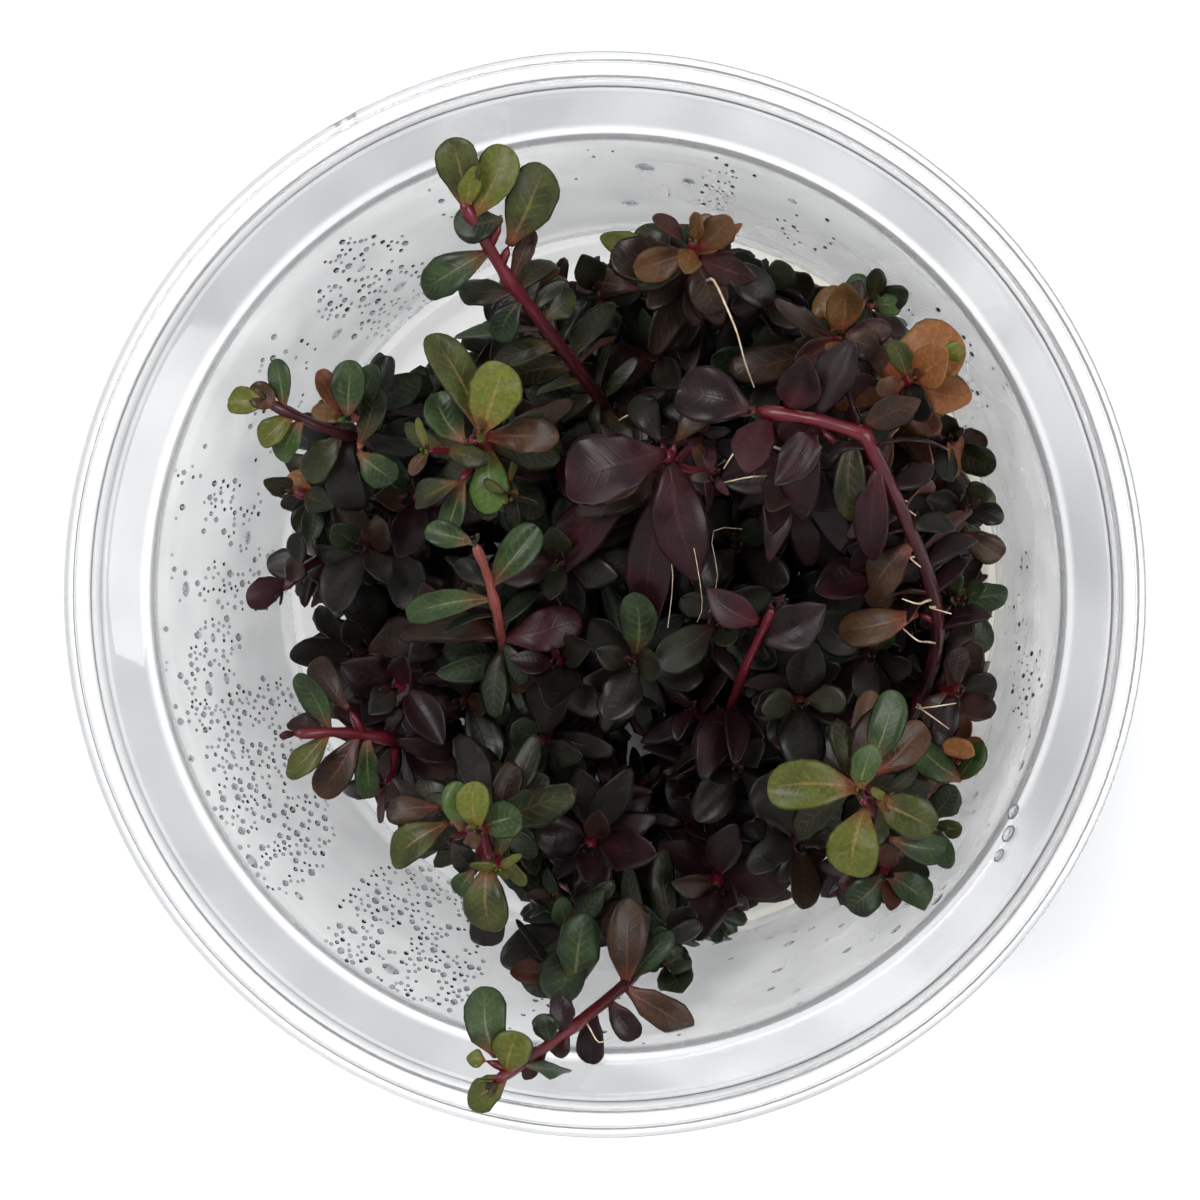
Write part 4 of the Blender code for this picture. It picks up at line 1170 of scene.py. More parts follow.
SEEN_CROWNS = {
    "shoot_tall_left": SeenCrown((
        SeenLeaf((468, 200), (453, 131), 4.2, 2.2, OLIVE, 0.62),
        SeenLeaf((474, 196), (477, 160), 2.3, 2.6, OLIVE, 1.0, 20, 0.3, 0.4),
        SeenLeaf((484, 200), (508, 140), 4.0, 1.0, OLIVE, 0.85, -10, 0.7, 1.0),
        SeenLeaf((503, 214), (455, 220), 3.6, 1.2, GREEN, 0.25, 15),
        SeenLeaf((510, 240), (546, 160), 4.6, 2.0, OLIVE, 0.5, 0, 1.4, 1.0),
        SeenLeaf((487, 249), (424, 286), 3.8, -1.0, GREEN, 0.5, 12, 1.2),
        SeenLeaf((522, 272), (534, 224), 1.9, 0.8, BROWN, 0.4, 10),
        SeenLeaf((512, 293), (460, 284), 2.9, -0.6, DARK, 0.6, 20),
        SeenLeaf((520, 298), (500, 338), 2.8, -0.8, GREEN, 0.25),
        SeenLeaf((540, 330), (456, 333), 3.0, -0.4, GREEN, 0.5, 72),
        SeenLeaf((535, 326), (575, 290), 3.0, -1.4, OLIVE, 0.3, 25),
    ), whole=True),
    "shoot_left": SeenCrown((
        SeenLeaf((268, 405), (229, 399), 2.7, 0.6, OLIVE, 0.9),
        SeenLeaf((280, 403), (251, 384), 2.7, 1.0, BROWN, 0.6, 25),
        SeenLeaf((284, 403), (277, 355), 2.4, 0.6, GREEN, 0.6, -20),
        SeenLeaf((284, 412), (261, 440), 2.7, 0.2, OLIVE, 0.8),
        SeenLeaf((300, 420), (280, 457), 3.1, -0.4, GREEN, 0.7, 15),
        SeenLeaf((342, 440), (308, 478), 3.3, -0.8, DARK, 0.8),
    ), whole=True),
    "shoot_left_crown": SeenCrown((
        SeenLeaf((352, 425), (352, 356), 3.4, 1.6, GREEN, 0.55, 10),
        SeenLeaf((340, 420), (321, 366), 2.4, 1.8, AMBER, 0.45, 35),
        SeenLeaf((345, 428), (313, 407), 2.2, 1.4, BROWN, 0.8),
        SeenLeaf((355, 428), (352, 387), 2.4, 2.6, DARK, 0.4),
        SeenLeaf((362, 440), (378, 385), 3.2, 0.4, OLIVE, 0.3, -20),
        SeenLeaf((360, 450), (396, 480), 3.4, 0.0, GREEN, 0.6, 0, 0.8, 1.0),
        SeenLeaf((370, 430), (390, 352), 2.8, -0.6, DARK, 0.1, -30),
        SeenLeaf((425, 420), (384, 395), 3.0, -1.0, OLIVE, 0.3),
    )),
    "shoot_left_amber": SeenCrown((
        SeenLeaf((325, 490), (288, 475), 2.8, 0.8, AMBER, 0.9, 15),
        SeenLeaf((345, 485), (282, 505), 2.4, 0.4, DARK, 0.4, -15),
        SeenLeaf((365, 490), (325, 540), 3.4, -0.4, GREEN, 0.5),
    )),
    "shoot_high_left": SeenCrown((
        SeenLeaf((490, 428), (505, 360), 5.0, 1.6, OLIVE, 1.0, 0, 1.0, 0.9),
        SeenLeaf((478, 440), (478, 422), 1.7, 2.6, MAROON, 1.0, 0, 0.3, 0.3),
        SeenLeaf((472, 420), (432, 330), 3.9, 1.0, OLIVE, 0.6, 20, 1.4),
        SeenLeaf((482, 452), (487, 513), 3.9, 0.6, GREEN, 0.95, 0, 1.0),
        SeenLeaf((466, 440), (437, 390), 3.7, 0.8, GREEN, 0.6, 15),
        SeenLeaf((495, 450), (512, 510), 3.2, 0.0, GREEN, 0.45, -25),
        SeenLeaf((495, 430), (560, 435), 3.5, -0.6, BROWN, 0.6, -15, 1.2),
        SeenLeaf((465, 475), (440, 545), 3.2, -1.4, GREEN, 0.6, 25),
        SeenLeaf((460, 480), (417, 500), 3.0, -1.0, OLIVE, 0.4, 30),
    ), whole=True),
    "shoot_pink": SeenCrown((
        SeenLeaf((468, 540), (427, 528), 2.6, 0.6, GREEN, 0.6, 15),
        SeenLeaf((490, 585), (538, 525), 3.6, 0.4, GREEN, 0.6, -15),
        SeenLeaf((490, 600), (408, 617), 2.9, -0.6, GREEN, 0.6, 15, 1.2),
        SeenLeaf((480, 590), (458, 560), 2.2, 0.4, DARK, 0.3),
        SeenLeaf((503, 640), (582, 620), 4.5, -0.6, BURGUNDY, 0.7, -10, 1.2),
        SeenLeaf((503, 650), (520, 695), 3.8, -1.6, BROWN, 0.4),
        SeenLeaf((503, 650), (600, 715), 4.0, -3.0, BROWN, 0.25, -15),
    ), 0.0, True),
    "shoot_left_low": SeenCrown((
        SeenLeaf((325, 733), (290, 725), 2.4, 0.4, MAROON, 0.15, 20),
        SeenLeaf((333, 726), (297, 677), 3.2, 0.8, GREEN, 0.4, -15),
        SeenLeaf((330, 738), (287, 780), 3.0, 0.2, OLIVE, 0.7, 15),
        SeenLeaf((400, 735), (335, 708), 3.0, 1.4, BURGUNDY, 0.7, 35),
        SeenLeaf((358, 745), (318, 800), 3.6, -0.6, BROWN, 0.5),
        SeenLeaf((370, 742), (372, 803), 2.9, -0.4, GREEN, 0.6, -20),
        SeenLeaf((398, 735), (408, 670), 2.6, 0.4, BURGUNDY, 0.6, 40),
        SeenLeaf((405, 750), (385, 805), 3.0, -1.0, BROWN, 0.3, 15),
        SeenLeaf((410, 740), (455, 785), 4.5, -0.6, MAROON, 0.5),
        SeenLeaf((350, 712), (318, 660), 3.0, -1.8, BROWN, 0.25, 20),
    ), 0.3, True),
    "shoot_high_bottom": SeenCrown((
        SeenLeaf((485, 838), (475, 785), 3.4, 1.6, OLIVE, 0.95, 10),
        SeenLeaf((474, 852), (474, 836), 1.6, 2.4, MAROON, 1.0, 0, 0.3, 0.3),
        SeenLeaf((462, 835), (457, 785), 2.9, 1.2, GREEN, 0.95, 20),
        SeenLeaf((485, 845), (522, 820), 3.8, 0.8, GREEN, 0.6, -10),
        SeenLeaf((490, 868), (490, 938), 4.5, 0.2, OLIVE, 0.55, 0, 1.2),
        SeenLeaf((448, 828), (392, 866), 3.8, -0.2, OLIVE, 0.6, 10, 1.2),
        SeenLeaf((440, 812), (387, 818), 3.0, 0.6, BROWN, 0.5, 25),
        SeenLeaf((475, 875), (458, 900), 2.3, -0.4, GREEN, 0.6),
        SeenLeaf((450, 845), (478, 878), 2.5, -1.0, DARK, 0.3),
        SeenLeaf((490, 800), (550, 782), 3.0, 0.4, DARK, 0.6, -15),
        SeenLeaf((480, 900), (488, 953), 3.4, -1.4, DARK, 0.1),
    ), whole=True),
    "shoot_hanging": SeenCrown((
        SeenLeaf((575, 1000), (585, 918), 4.3, 2.0, GREEN, 0.5, 0, 1.2, 0.9),
        SeenLeaf((560, 985), (513, 975), 3.2, 0.4, MAROON, 0.7, 40),
        SeenLeaf((562, 925), (514, 877), 1.2, -0.5, DARK, 0.5, 50),
        SeenLeaf((559, 985), (517, 925), 1.4, -0.5, DARK, 0.5, 50),
    ), 0.3),
    "shoot_bottom_right": SeenCrown((
        SeenLeaf((652, 965), (686, 958), 3.2, 0.6, GREEN, 0.4, 0, 0.8, 1.0),
    ), 0.3),
    "shoot_over_rim": SeenCrown((
        SeenLeaf((497, 1066), (487, 994), 4.1, 1.0, GREEN, 0.62, 10, 1.2),
        SeenLeaf((485, 1070), (467, 1067), 1.8, 0.8, OLIVE, 0.85, 20, 0.3, 0.3),
        SeenLeaf((505, 1080), (520, 1040), 3.9, 1.8, OLIVE, 0.8, -15),
        SeenLeaf((505, 1080), (468, 1112), 3.4, -0.6, OLIVE, 0.7, 20),
        SeenLeaf((520, 1072), (571, 1080), 2.8, 0.0, GREEN, 0.5, 50),
        SeenLeaf((545, 1052), (522, 1082), 2.8, -0.4, BROWN, 0.4, 10),
        SeenLeaf((565, 1045), (560, 1002), 2.4, 0.8, BURGUNDY, 0.4, 30),
        SeenLeaf((568, 1034), (553, 1062), 2.2, -0.4, MAROON, 0.4, 10),
        SeenLeaf((550, 1050), (540, 1022), 2.4, 0.8, GREEN, 0.2, 20),
        SeenLeaf((596, 1018), (590, 1072), 2.8, -0.8, BURGUNDY, 0.3, 15),
        SeenLeaf((610, 1008), (636, 1046), 2.6, -0.6, MAROON, 0.3, -15),
        SeenLeaf((628, 994), (630, 902), 4.2, 1.6, BROWN, 0.35, 10, 1.2, 0.8),
        SeenLeaf((634, 992), (672, 936), 2.8, 1.0, GREEN, 0.4, -20),
        SeenLeaf((630, 998), (692, 1034), 3.4, -0.4, BROWN, 0.45, 0, 1.0, 0.8),
    ), 0.3, True),
    "shoot_high_right": SeenCrown((
        SeenLeaf((868, 790), (870, 745), 2.9, 1.8, GREEN, 0.7, 10),
        SeenLeaf((842, 795), (765, 790), 4.8, 1.2, OLIVE, 0.75, 0, 1.2, 0.9),
        SeenLeaf((862, 810), (848, 878), 5.0, 0.8, OLIVE, 0.8, 0, 1.4, 0.9),
        SeenLeaf((872, 800), (930, 830), 4.3, 0.6, OLIVE, 0.6, 0, 1.4, 0.8),
        SeenLeaf((855, 770), (868, 690), 3.0, 0.6, BROWN, 0.6, 20),
        SeenLeaf((865, 770), (890, 690), 3.6, 0.2, GREEN, 0.6, -20),
        SeenLeaf((870, 775), (920, 725), 3.6, -0.4, BROWN, 0.6, -10),
        SeenLeaf((885, 840), (940, 850), 3.0, -2.0, GREEN, 0.5),
        SeenLeaf((840, 780), (790, 735), 3.6, -1.0, DARK, 0.6, 15),
    ), whole=True),
    "shoot_right_low": SeenCrown((
        SeenLeaf((890, 860), (893, 905), 4.0, 1.2, MAROON, 0.6),
        SeenLeaf((892, 875), (925, 905), 3.4, 0.0, GREEN, 0.5, -20),
        SeenLeaf((880, 880), (845, 912), 3.6, 0.0, GREEN, 0.4, 15),
    )),
    "shoot_right_amber": SeenCrown((
        SeenLeaf((950, 772), (955, 738), 3.2, 1.8, AMBER, 1.0, 0, 0.8, 1.0),
        SeenLeaf((955, 780), (912, 745), 3.6, 1.2, GREEN, 0.6, 35),
        SeenLeaf((950, 780), (974, 742), 3.2, 1.0, GREEN, 0.7, -35),
    )),
    "shoot_right_maroon": SeenCrown((
        SeenLeaf((925, 690), (985, 700), 4.5, 0.6, MAROON, 0.6, 0, 1.2),
        SeenLeaf((945, 680), (920, 725), 3.4, 0.2, BROWN, 0.4, 20),
    )),
    "shoot_orange": SeenCrown((
        SeenLeaf((880, 372), (952, 332), 6.2, 1.2, AMBER, 0.9, 0, 1.2, 1.0),
        SeenLeaf((935, 355), (955, 345), 2.0, 1.0, OLIVE, 1.0, 20, 0.3),
        SeenLeaf((870, 385), (963, 390), 3.2, 0.0, AMBER, 0.5, -25, 1.2),
        SeenLeaf((898, 380), (916, 420), 3.2, 0.8, DARK, 0.2, 40, 1.2),
        SeenLeaf((860, 405), (838, 352), 2.9, 0.2, BURGUNDY, 0.6, 20),
    )),
    "shoot_top_brown": SeenCrown((
        SeenLeaf((832, 345), (826, 283), 3.9, 1.2, BROWN, 0.95, 0, 1.2),
        SeenLeaf((836, 345), (800, 318), 3.0, 0.4, DARK, 0.5, 15),
        SeenLeaf((840, 335), (872, 350), 3.2, 0.0, BROWN, 0.5, -15),
    )),
    "shoot_top_right": SeenCrown((
        SeenLeaf((868, 310), (848, 272), 2.4, 0.8, GREEN, 0.6),
        SeenLeaf((868, 305), (896, 304), 2.2, 0.6, GREEN, 0.7, -20),
    )),
    "shoot_top_crown": SeenCrown((
        SeenLeaf((700, 255), (708, 210), 2.4, 1.8, AMBER, 0.5, -15),
        SeenLeaf((685, 245), (682, 222), 1.4, 2.2, GREEN, 0.5, 0, 0.3, 0.3),
        SeenLeaf((680, 245), (653, 211), 2.0, 1.2, MAROON, 0.6, 55),
        SeenLeaf((705, 250), (740, 220), 2.2, 0.8, AMBER, 0.7, -25, 0.7, 0.3),
        SeenLeaf((672, 262), (640, 222), 3.7, 0.6, OLIVE, 0.35, 10),
        SeenLeaf((700, 255), (715, 310), 3.8, 0.2, BROWN, 0.25, -10),
        SeenLeaf((665, 262), (600, 232), 3.0, 0.0, OLIVE, 1.0, 10, 0.8, 0.35),
        SeenLeaf((690, 260), (637, 282), 2.6, -0.4, OLIVE, 0.3, 20),
        SeenLeaf((715, 255), (770, 300), 3.6, -1.0, DARK, 0.2, -20),
        SeenLeaf((640, 285), (577, 280), 3.4, -2.0, BROWN, 0.5, 0, 0.8, 1.0),
    )),
    "shoot_centre": SeenCrown((
        SeenLeaf((652, 446), (566, 480), 6.8, 0.6, BURGUNDY, 0.5, 8, 1.6, 1.0),
        SeenLeaf((650, 466), (602, 500), 2.6, 1.6, MAROON, 0.7, 30, 0.5, 0.4),
        SeenLeaf((675, 445), (695, 580), 5.5, -3.4, BURGUNDY, 0.5, -10, 2.0, 0.2),
        SeenLeaf((655, 470), (648, 635), 4.8, -7.0, BURGUNDY, 0.5, 10, 2.4, 0.2),
        SeenLeaf((640, 480), (548, 572), 5.0, -4.0, BURGUNDY, 0.6, 12, 1.6, 0.6),
        SeenLeaf((675, 440), (708, 398), 3.0, -0.8, BROWN, 0.2, -15, 1.0),
        SeenLeaf((660, 440), (640, 392), 3.2, -1.8, DARK, 0.3, 15, 1.0),
    ), whole=True),
    "shoot_arch": SeenCrown((
        SeenLeaf((760, 420), (676, 388), 5.4, -0.6, BURGUNDY, 0.3, 10, 1.4, 0.8),
        SeenLeaf((812, 423), (800, 520), 4.0, -4.6, BURGUNDY, 0.4, 15, 1.6, 0.3),
        SeenLeaf((850, 430), (850, 520), 3.2, -4.0, OLIVE, 0.25, -25, 1.4, 0.3),
        SeenLeaf((885, 455), (870, 560), 3.6, -4.6, BURGUNDY, 0.5, 20, 1.6, 0.3),
        SeenLeaf((918, 535), (868, 592), 4.0, -3.0, BROWN, 0.4, 10, 1.2),
        SeenLeaf((912, 612), (835, 628), 4.0, -1.6, BROWN, 0.6, 12, 1.2),
    ), 0.0),
    "shoot_right_upper": SeenCrown((
        SeenLeaf((940, 500), (988, 495), 2.9, 0.8, OLIVE, 0.3),
        SeenLeaf((945, 520), (985, 508), 3.0, 0.2, DARK, 0.5, 20),
        SeenLeaf((955, 530), (995, 555), 3.0, -0.4, BROWN, 0.5, -15),
        SeenLeaf((945, 490), (946, 425), 2.6, 0.4, AMBER, 0.55, 50),
        SeenLeaf((935, 492), (935, 425), 4.0, -0.6, MAROON, 0.6, -10, 1.2),
    )),
    "shoot_right_mid": SeenCrown((
        SeenLeaf((945, 605), (1000, 592), 2.8, 0.6, GREEN, 0.5),
        SeenLeaf((940, 585), (964, 560), 3.4, 0.6, BURGUNDY, 0.7, 10, 0.8, 0.9),
        SeenLeaf((945, 640), (985, 628), 3.6, -0.6, GREEN, 0.2, -15),
        SeenLeaf((940, 620), (968, 665), 3.4, -1.0, GREEN, 0.3, 15),
    )),
}


@dataclass
class Undergrowth:
    """The leaves below each crown, and the short side shoots between the crowns.

    They stand on the stems' own nodes, in crossed pairs, and turn to where light still falls.
    """

    blade: Blade
    room: Room
    first_gap: float = 4.2
    gap_growth: float = 1.04
    lowest: float = 14.5
    length: tuple[float, float] = (4.6, 9.0)
    filler: tuple[float, float] = (7.5, 12.0)
    slender: tuple[float, float] = (0.32, 0.52)
    filler_from: float = 0.5
    side_length: tuple[float, float] = (5.0, 9.0)

    def place(
        self,
        base: np.ndarray,
        up: np.ndarray,
        turn: float,
        draw: np.random.Generator,
        size: float,
        rises: tuple[float, float],
    ) -> Optional[LeafPlan]:
        """Tries a leaf in a few attitudes, and keeps the one that catches the most light.

        Args:
            base: Where it leaves the stem, on the stem's middle.
            up: The way that the stem runs.
            turn: The direction round the stem that suits its pair, in radians.
            draw: The source of chance.
            size: Its length before it is fitted.
            rises: The least and the most that it rises, in degrees.

        Returns:
            The leaf, or None where no room is left.
        """
        first = square_to(np.array((1.0, 0.13, 0.07)), up)
        second = np.cross(up, first)
        best, best_gain = None, -1.0
        for step in (0.0, 0.35, -0.35, 0.75, -0.75):
            angle = turn + step
            way = first * math.cos(angle) + second * math.sin(angle)
            for share in (1.0, 0.8, 0.62):
                rise = math.radians(draw.uniform(*rises))
                droop = math.radians(draw.uniform(0, 52))
                leaf = lay_leaf(base, way, up, size * share, rise, droop, draw.uniform(-0.95, 0.95))
                leaf.width = size * share * draw.uniform(*self.slender)
                spots = self.blade.spots(leaf)
                if self.room.past_edge(spots) > 0 or not self.room.free(spots) or self.room.hides(spots):
                    continue
                gain = self.room.gain(spots) + 3.0 * share
                if gain > best_gain:
                    best, best_gain = leaf, gain
                break
        return best

    def pair(
        self,
        leaves: list[LeafPlan],
        base: np.ndarray,
        up: np.ndarray,
        turn: float,
        draw: np.random.Generator,
        size: float,
        rises: tuple[float, float],
        youth: float,
    ) -> None:
        """Adds the two leaves of a node where there is room. The arguments are those of place."""
        for half_turn in (0.0, math.pi):
            leaf = self.place(base, up, turn + half_turn, draw, size * draw.uniform(0.85, 1.1), rises)
            if leaf is not None:
                leaf.youth = youth
                self.room.take(self.blade.spots(leaf))
                leaves.append(leaf)

    def along(self, stem: StemPlan, draw: np.random.Generator, gap_share: float = 1.0) -> list[LeafPlan]:
        """Puts pairs of leaves on a stem from below its crown down to the gel.

        Args:
            stem: The stem.
            draw: The source of chance.
            gap_share: How close the pairs are, 1 for the usual distance.

        Returns:
            The new leaves.
        """
        line, _ = smooth_line(stem.knots, 0.5)
        leaves: list[LeafPlan] = []
        lowest_node = min(stem.nodes) if stem.nodes else len(stem.knots) - 1
        start = int(np.argmin(np.linalg.norm(line - stem.knots[lowest_node], axis=1)))
        gone, gap, turn = 0.0, self.first_gap * gap_share * draw.uniform(0.8, 1.1), draw.uniform(0, math.pi)
        for k in range(start, 0, -1):
            gone += float(np.linalg.norm(line[k] - line[k - 1]))
            if line[k][2] < self.lowest:
                break
            if gone >= gap:
                gone, gap = 0.0, gap * self.gap_growth
                turn += math.pi / 2
                up = unit(line[min(k + 1, len(line) - 1)] - line[k - 1])
                sizes = self.filler if gap_share < self.filler_from else self.length
                self.pair(leaves, line[k], up, turn, draw, draw.uniform(*sizes), (-24, 48), 0.05)
        return leaves

    def side_shoots(
        self, stem: StemPlan, draw: np.random.Generator, bud: Bud, wanted: int
    ) -> tuple[list[StemPlan], list[LeafPlan]]:
        """Grows short side shoots from a stem, each with two pairs of leaves and a bud.

        Args:
            stem: The stem.
            draw: The source of chance.
            bud: The bud that ends each.
            wanted: How many are tried.

        Returns:
            The side shoots' stems, and their leaves.
        """
        line, _ = smooth_line(stem.knots, 0.5)
        whole = len(line)
        stems: list[StemPlan] = []
        leaves: list[LeafPlan] = []
        for _ in range(wanted):
            best, best_gain = None, 5
            for _ in range(9):
                k = int(whole - 1 - draw.uniform(9, 46))
                if k < 2 or line[k][2] < self.lowest + 4:
                    continue
                up = unit(line[min(k + 1, whole - 1)] - line[k - 1])
                first = square_to(np.array((1.0, 0.13, 0.07)), up)
                angle = draw.uniform(0, 2 * math.pi)
                way = first * math.cos(angle) + np.cross(up, first) * math.sin(angle)
                length = draw.uniform(*self.side_length)
                start = unit(way + 0.5 * up)
                end = unit(0.45 * way + 0.5 * up + 0.9 * UP)
                knots = np.array((line[k], line[k] + start * length * 0.5, line[k] + start * length * 0.5 + end * length * 0.5))
                path, _ = smooth_line(knots, 0.5)
                tip = path[-1]
                ring = np.array([(math.cos(a), math.sin(a), 0.1) for a in np.linspace(0, 6.28, 12)])
                crown = np.vstack((tip + ring * 2.2, tip + ring * 3.6))
                if tip[2] > 60 or self.room.past_edge(crown) > 0.5 or self.room.hides(np.vstack((path, crown))):
                    continue
                if not self.room.free(path[3:]) or not self.room.free(crown, 0.25):
                    continue
                gain = self.room.gain(crown)
                if gain > best_gain:
                    best, best_gain = (knots, path, end), gain
            if best is None:
                continue
            knots, path, end = best
            size = draw.uniform(3.8, 6.2)
            turn = draw.uniform(0, math.pi)
            for share, rises, scale in ((0.55, (2, 26), 1.0), (0.98, (24, 50), 0.72)):
                at = path[int(share * (len(path) - 1))]
                self.pair(leaves, at, end, turn, draw, size * scale, rises, 0.25 + 0.5 * share)
                turn += math.pi / 2
            leaves.extend(bud.leaves(path[-1], end, draw, 0.8))
            self.room.take(path)
            stems.append(StemPlan(knots, np.array((0.5, 0.44, 0.3)), []))
        return stems, leaves


@dataclass
class Clump:
    """All the shoots, each one piece grown on its own solid."""

    frame: dict
    blade: Blade = field(default_factory=Blade)
    stem: Stem = field(default_factory=Stem)
    bud: Bud = field(default_factory=Bud)
    room: Room = field(default_factory=Room)
    seed: int = 7
    strangers: float = 0.3
    stems_in_sight: tuple[tuple[str, float], ...] = (
        ("shoot_arch", 33.5), ("shoot_pink", 43.0), ("shoot_tall_left", 44.0), ("shoot_left", 44.0),
        ("shoot_left_low", 42.0), ("shoot_over_rim", 50.0), ("shoot_leaning", 40.0),
    )
    slim: dict[str, float] = field(
        default_factory=lambda: {"shoot_over_rim": 0.76, "shoot_leaning": 0.6, "shoot_pink": 0.7, "shoot_arch": 0.85}
    )
    budless: tuple[str, ...] = ("shoot_centre", "shoot_tall_left")
    pieces: list[bpy.types.Object] = field(default_factory=list)
    stems: dict[str, StemPlan] = field(default_factory=dict)

    def dress(self) -> None:
        """Makes the leaf and stem materials."""
        tissue, skin = leaf_tissue_group(), stem_skin_group()
        self.leaf_materials = {kind: finish.material(tissue) for kind, finish in LEAF_FINISHES.items()}
        made = {finish: finish.material(skin) for finish in set(STEM_FINISHES.values())}
        self.stem_materials = {kind: made[finish] for kind, finish in STEM_FINISHES.items()}

    def build(self) -> None:
        """Grows every shoot on its solid, and then the undergrowth between them."""
        self.dress()
        names = sorted(name for name in self.frame["nodes"] if name.startswith("shoot_"))
        shoots = {name: FrameShoot(self.frame["nodes"][name]) for name in names}
        draws = {name: np.random.default_rng(self.seed + order) for order, name in enumerate(names)}
        self.top = max(float(shoot.at[:, 2].max()) for shoot in shoots.values())
        undergrowth = Undergrowth(self.blade, self.room)
        side_stems: dict[str, list[StemPlan]] = {}
        more: dict[str, list[LeafPlan]] = {}
        for name, shoot in shoots.items():
            laid, side_stems[name] = SEEN_CROWNS[name].lay(shoot.stem) if name in SEEN_CROWNS else ([], [])
            for leaf in laid:
                self.room.take(self.blade.spots(leaf))
            shoot.stem.radii = shoot.stem.radii * self.slim.get(name, 1.0)
            up = unit(shoot.stem.knots[-1] - shoot.stem.knots[-2])
            size = 0.0 if name in self.budless else 0.8 if laid else 1.0
            more[name] = laid + (self.bud.leaves(shoot.stem.knots[-1], up, draws[name], size) if size else [])
        for name, lowest in self.stems_in_sight:
            line, _ = smooth_line(shoots[name].stem.knots, 0.3)
            self.room.show(line[line[:, 2] > lowest])
        for name, shoot in shoots.items():
            line, _ = smooth_line(shoot.stem.knots, 0.5)
            for leaf in shoot.leaves:
                self.ruffle(leaf, draws[name])
            if name in SEEN_CROWNS and SEEN_CROWNS[name].whole:
                shoot.leaves = []
            shoot.leaves = [
                leaf for leaf in shoot.leaves
                if self.room.free(self.blade.spots(leaf), 0.3) and not self.room.hides(self.blade.spots(leaf))
            ]
            self.room.take(line)
            for leaf in shoot.leaves:
                self.room.take(self.blade.spots(leaf))
        for name, shoot in shoots.items():
            stems, leaves = undergrowth.side_shoots(shoot.stem, draws[name], self.bud, 4)
            side_stems[name] += stems
            more[name] += leaves
        for gap_share in (1.0, 0.72, 0.45):
            for name, shoot in shoots.items():
                more[name] += undergrowth.along(shoot.stem, draws[name], gap_share)
        for name, shoot in shoots.items():
            self.make(name, shoot, side_stems[name], more[name], draws[name])
        self.stems = {name: shoot.stem for name, shoot in shoots.items()}
        LOG.info("leaves added: %d", sum(len(leaves) for leaves in more.values()))

    def ruffle(self, leaf: LeafPlan, draw: np.random.Generator) -> None:
        """Turns a leaf a little round its stem, up or down and about its own length, and varies its size."""
        yaw, pitch, roll = draw.uniform(-0.24, 0.24), draw.uniform(-0.28, 0.20), draw.uniform(-0.5, 0.5)
        along = unit(leaf.line[-1] - leaf.line[0])
        turn = Matrix.Rotation(yaw, 3, "Z") @ Matrix.Rotation(pitch, 3, Vector(leaf.side))
        turn = np.array(turn @ Matrix.Rotation(roll, 3, Vector(along)))
        leaf.line = leaf.line[0] + (leaf.line - leaf.line[0]) @ turn.T * draw.uniform(0.82, 1.04)
        leaf.side, leaf.top = turn @ leaf.side, turn @ leaf.top
        leaf.width *= draw.uniform(0.78, 1.02)

    def make(
        self,
        name: str,
        shoot: FrameShoot,
        side_stems: list[StemPlan],
        more: list[LeafPlan],
        draw: np.random.Generator,
    ) -> None:
        """Makes one shoot's piece.

        Args:
            name: Its node.
            shoot: Its solid, read back.
            side_stems: Its side shoots' stems.
            more: Its bud's, side shoots' and lower leaves.
            draw: The source of chance.
        """
        kind = Foliage(self.frame["nodes"][name].data.materials[0].name)
        growth = Growth()
        kinds = [kind]
        for leaf in (*shoot.leaves, *more):
            if leaf.kind is None:
                leaf.kind = KIN[kind][int(draw.integers(3))] if draw.uniform(0, 1) < self.strangers else kind
                leaf.youth *= float(smoothstep(38.0, 58.0, leaf.line[-1][2])) * (1.0 if leaf.kind is kind else 0.6)
                # Painted shade: a leaf whose tip is low in the clump gets a darker tone.
                depth = float(smoothstep(34.0, 50.0, leaf.line[-1][2]))
                leaf.tone = draw.uniform(0, 1) * (0.35 + 0.65 * min(1.0, 2.5 * leaf.youth)) * (0.45 + 0.55 * depth)
                leaf.roundness = draw.uniform(0.0, 0.35) if kind is BURGUNDY else draw.uniform(0.2, 1.0)
            if leaf.kind not in kinds:
                kinds.append(leaf.kind)
            leaf.line[:, 2] = np.minimum(leaf.line[:, 2], self.top - 0.35)
            self.blade.grow(growth, leaf, draw, kinds.index(leaf.kind))
        for stem in (shoot.stem, *side_stems):
            self.stem.grow(growth, stem, draw, len(kinds))
        materials = [self.leaf_materials[each] for each in kinds] + [self.stem_materials[kind]]
        piece = growth.piece(name.replace("shoot_", "plant_"), materials)
        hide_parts(name)
        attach(piece, "root")
        self.pieces.append(piece)
        LOG.info("%s: %d and %d leaves", piece.name, len(shoot.leaves), len(more))


# The cup and the gel


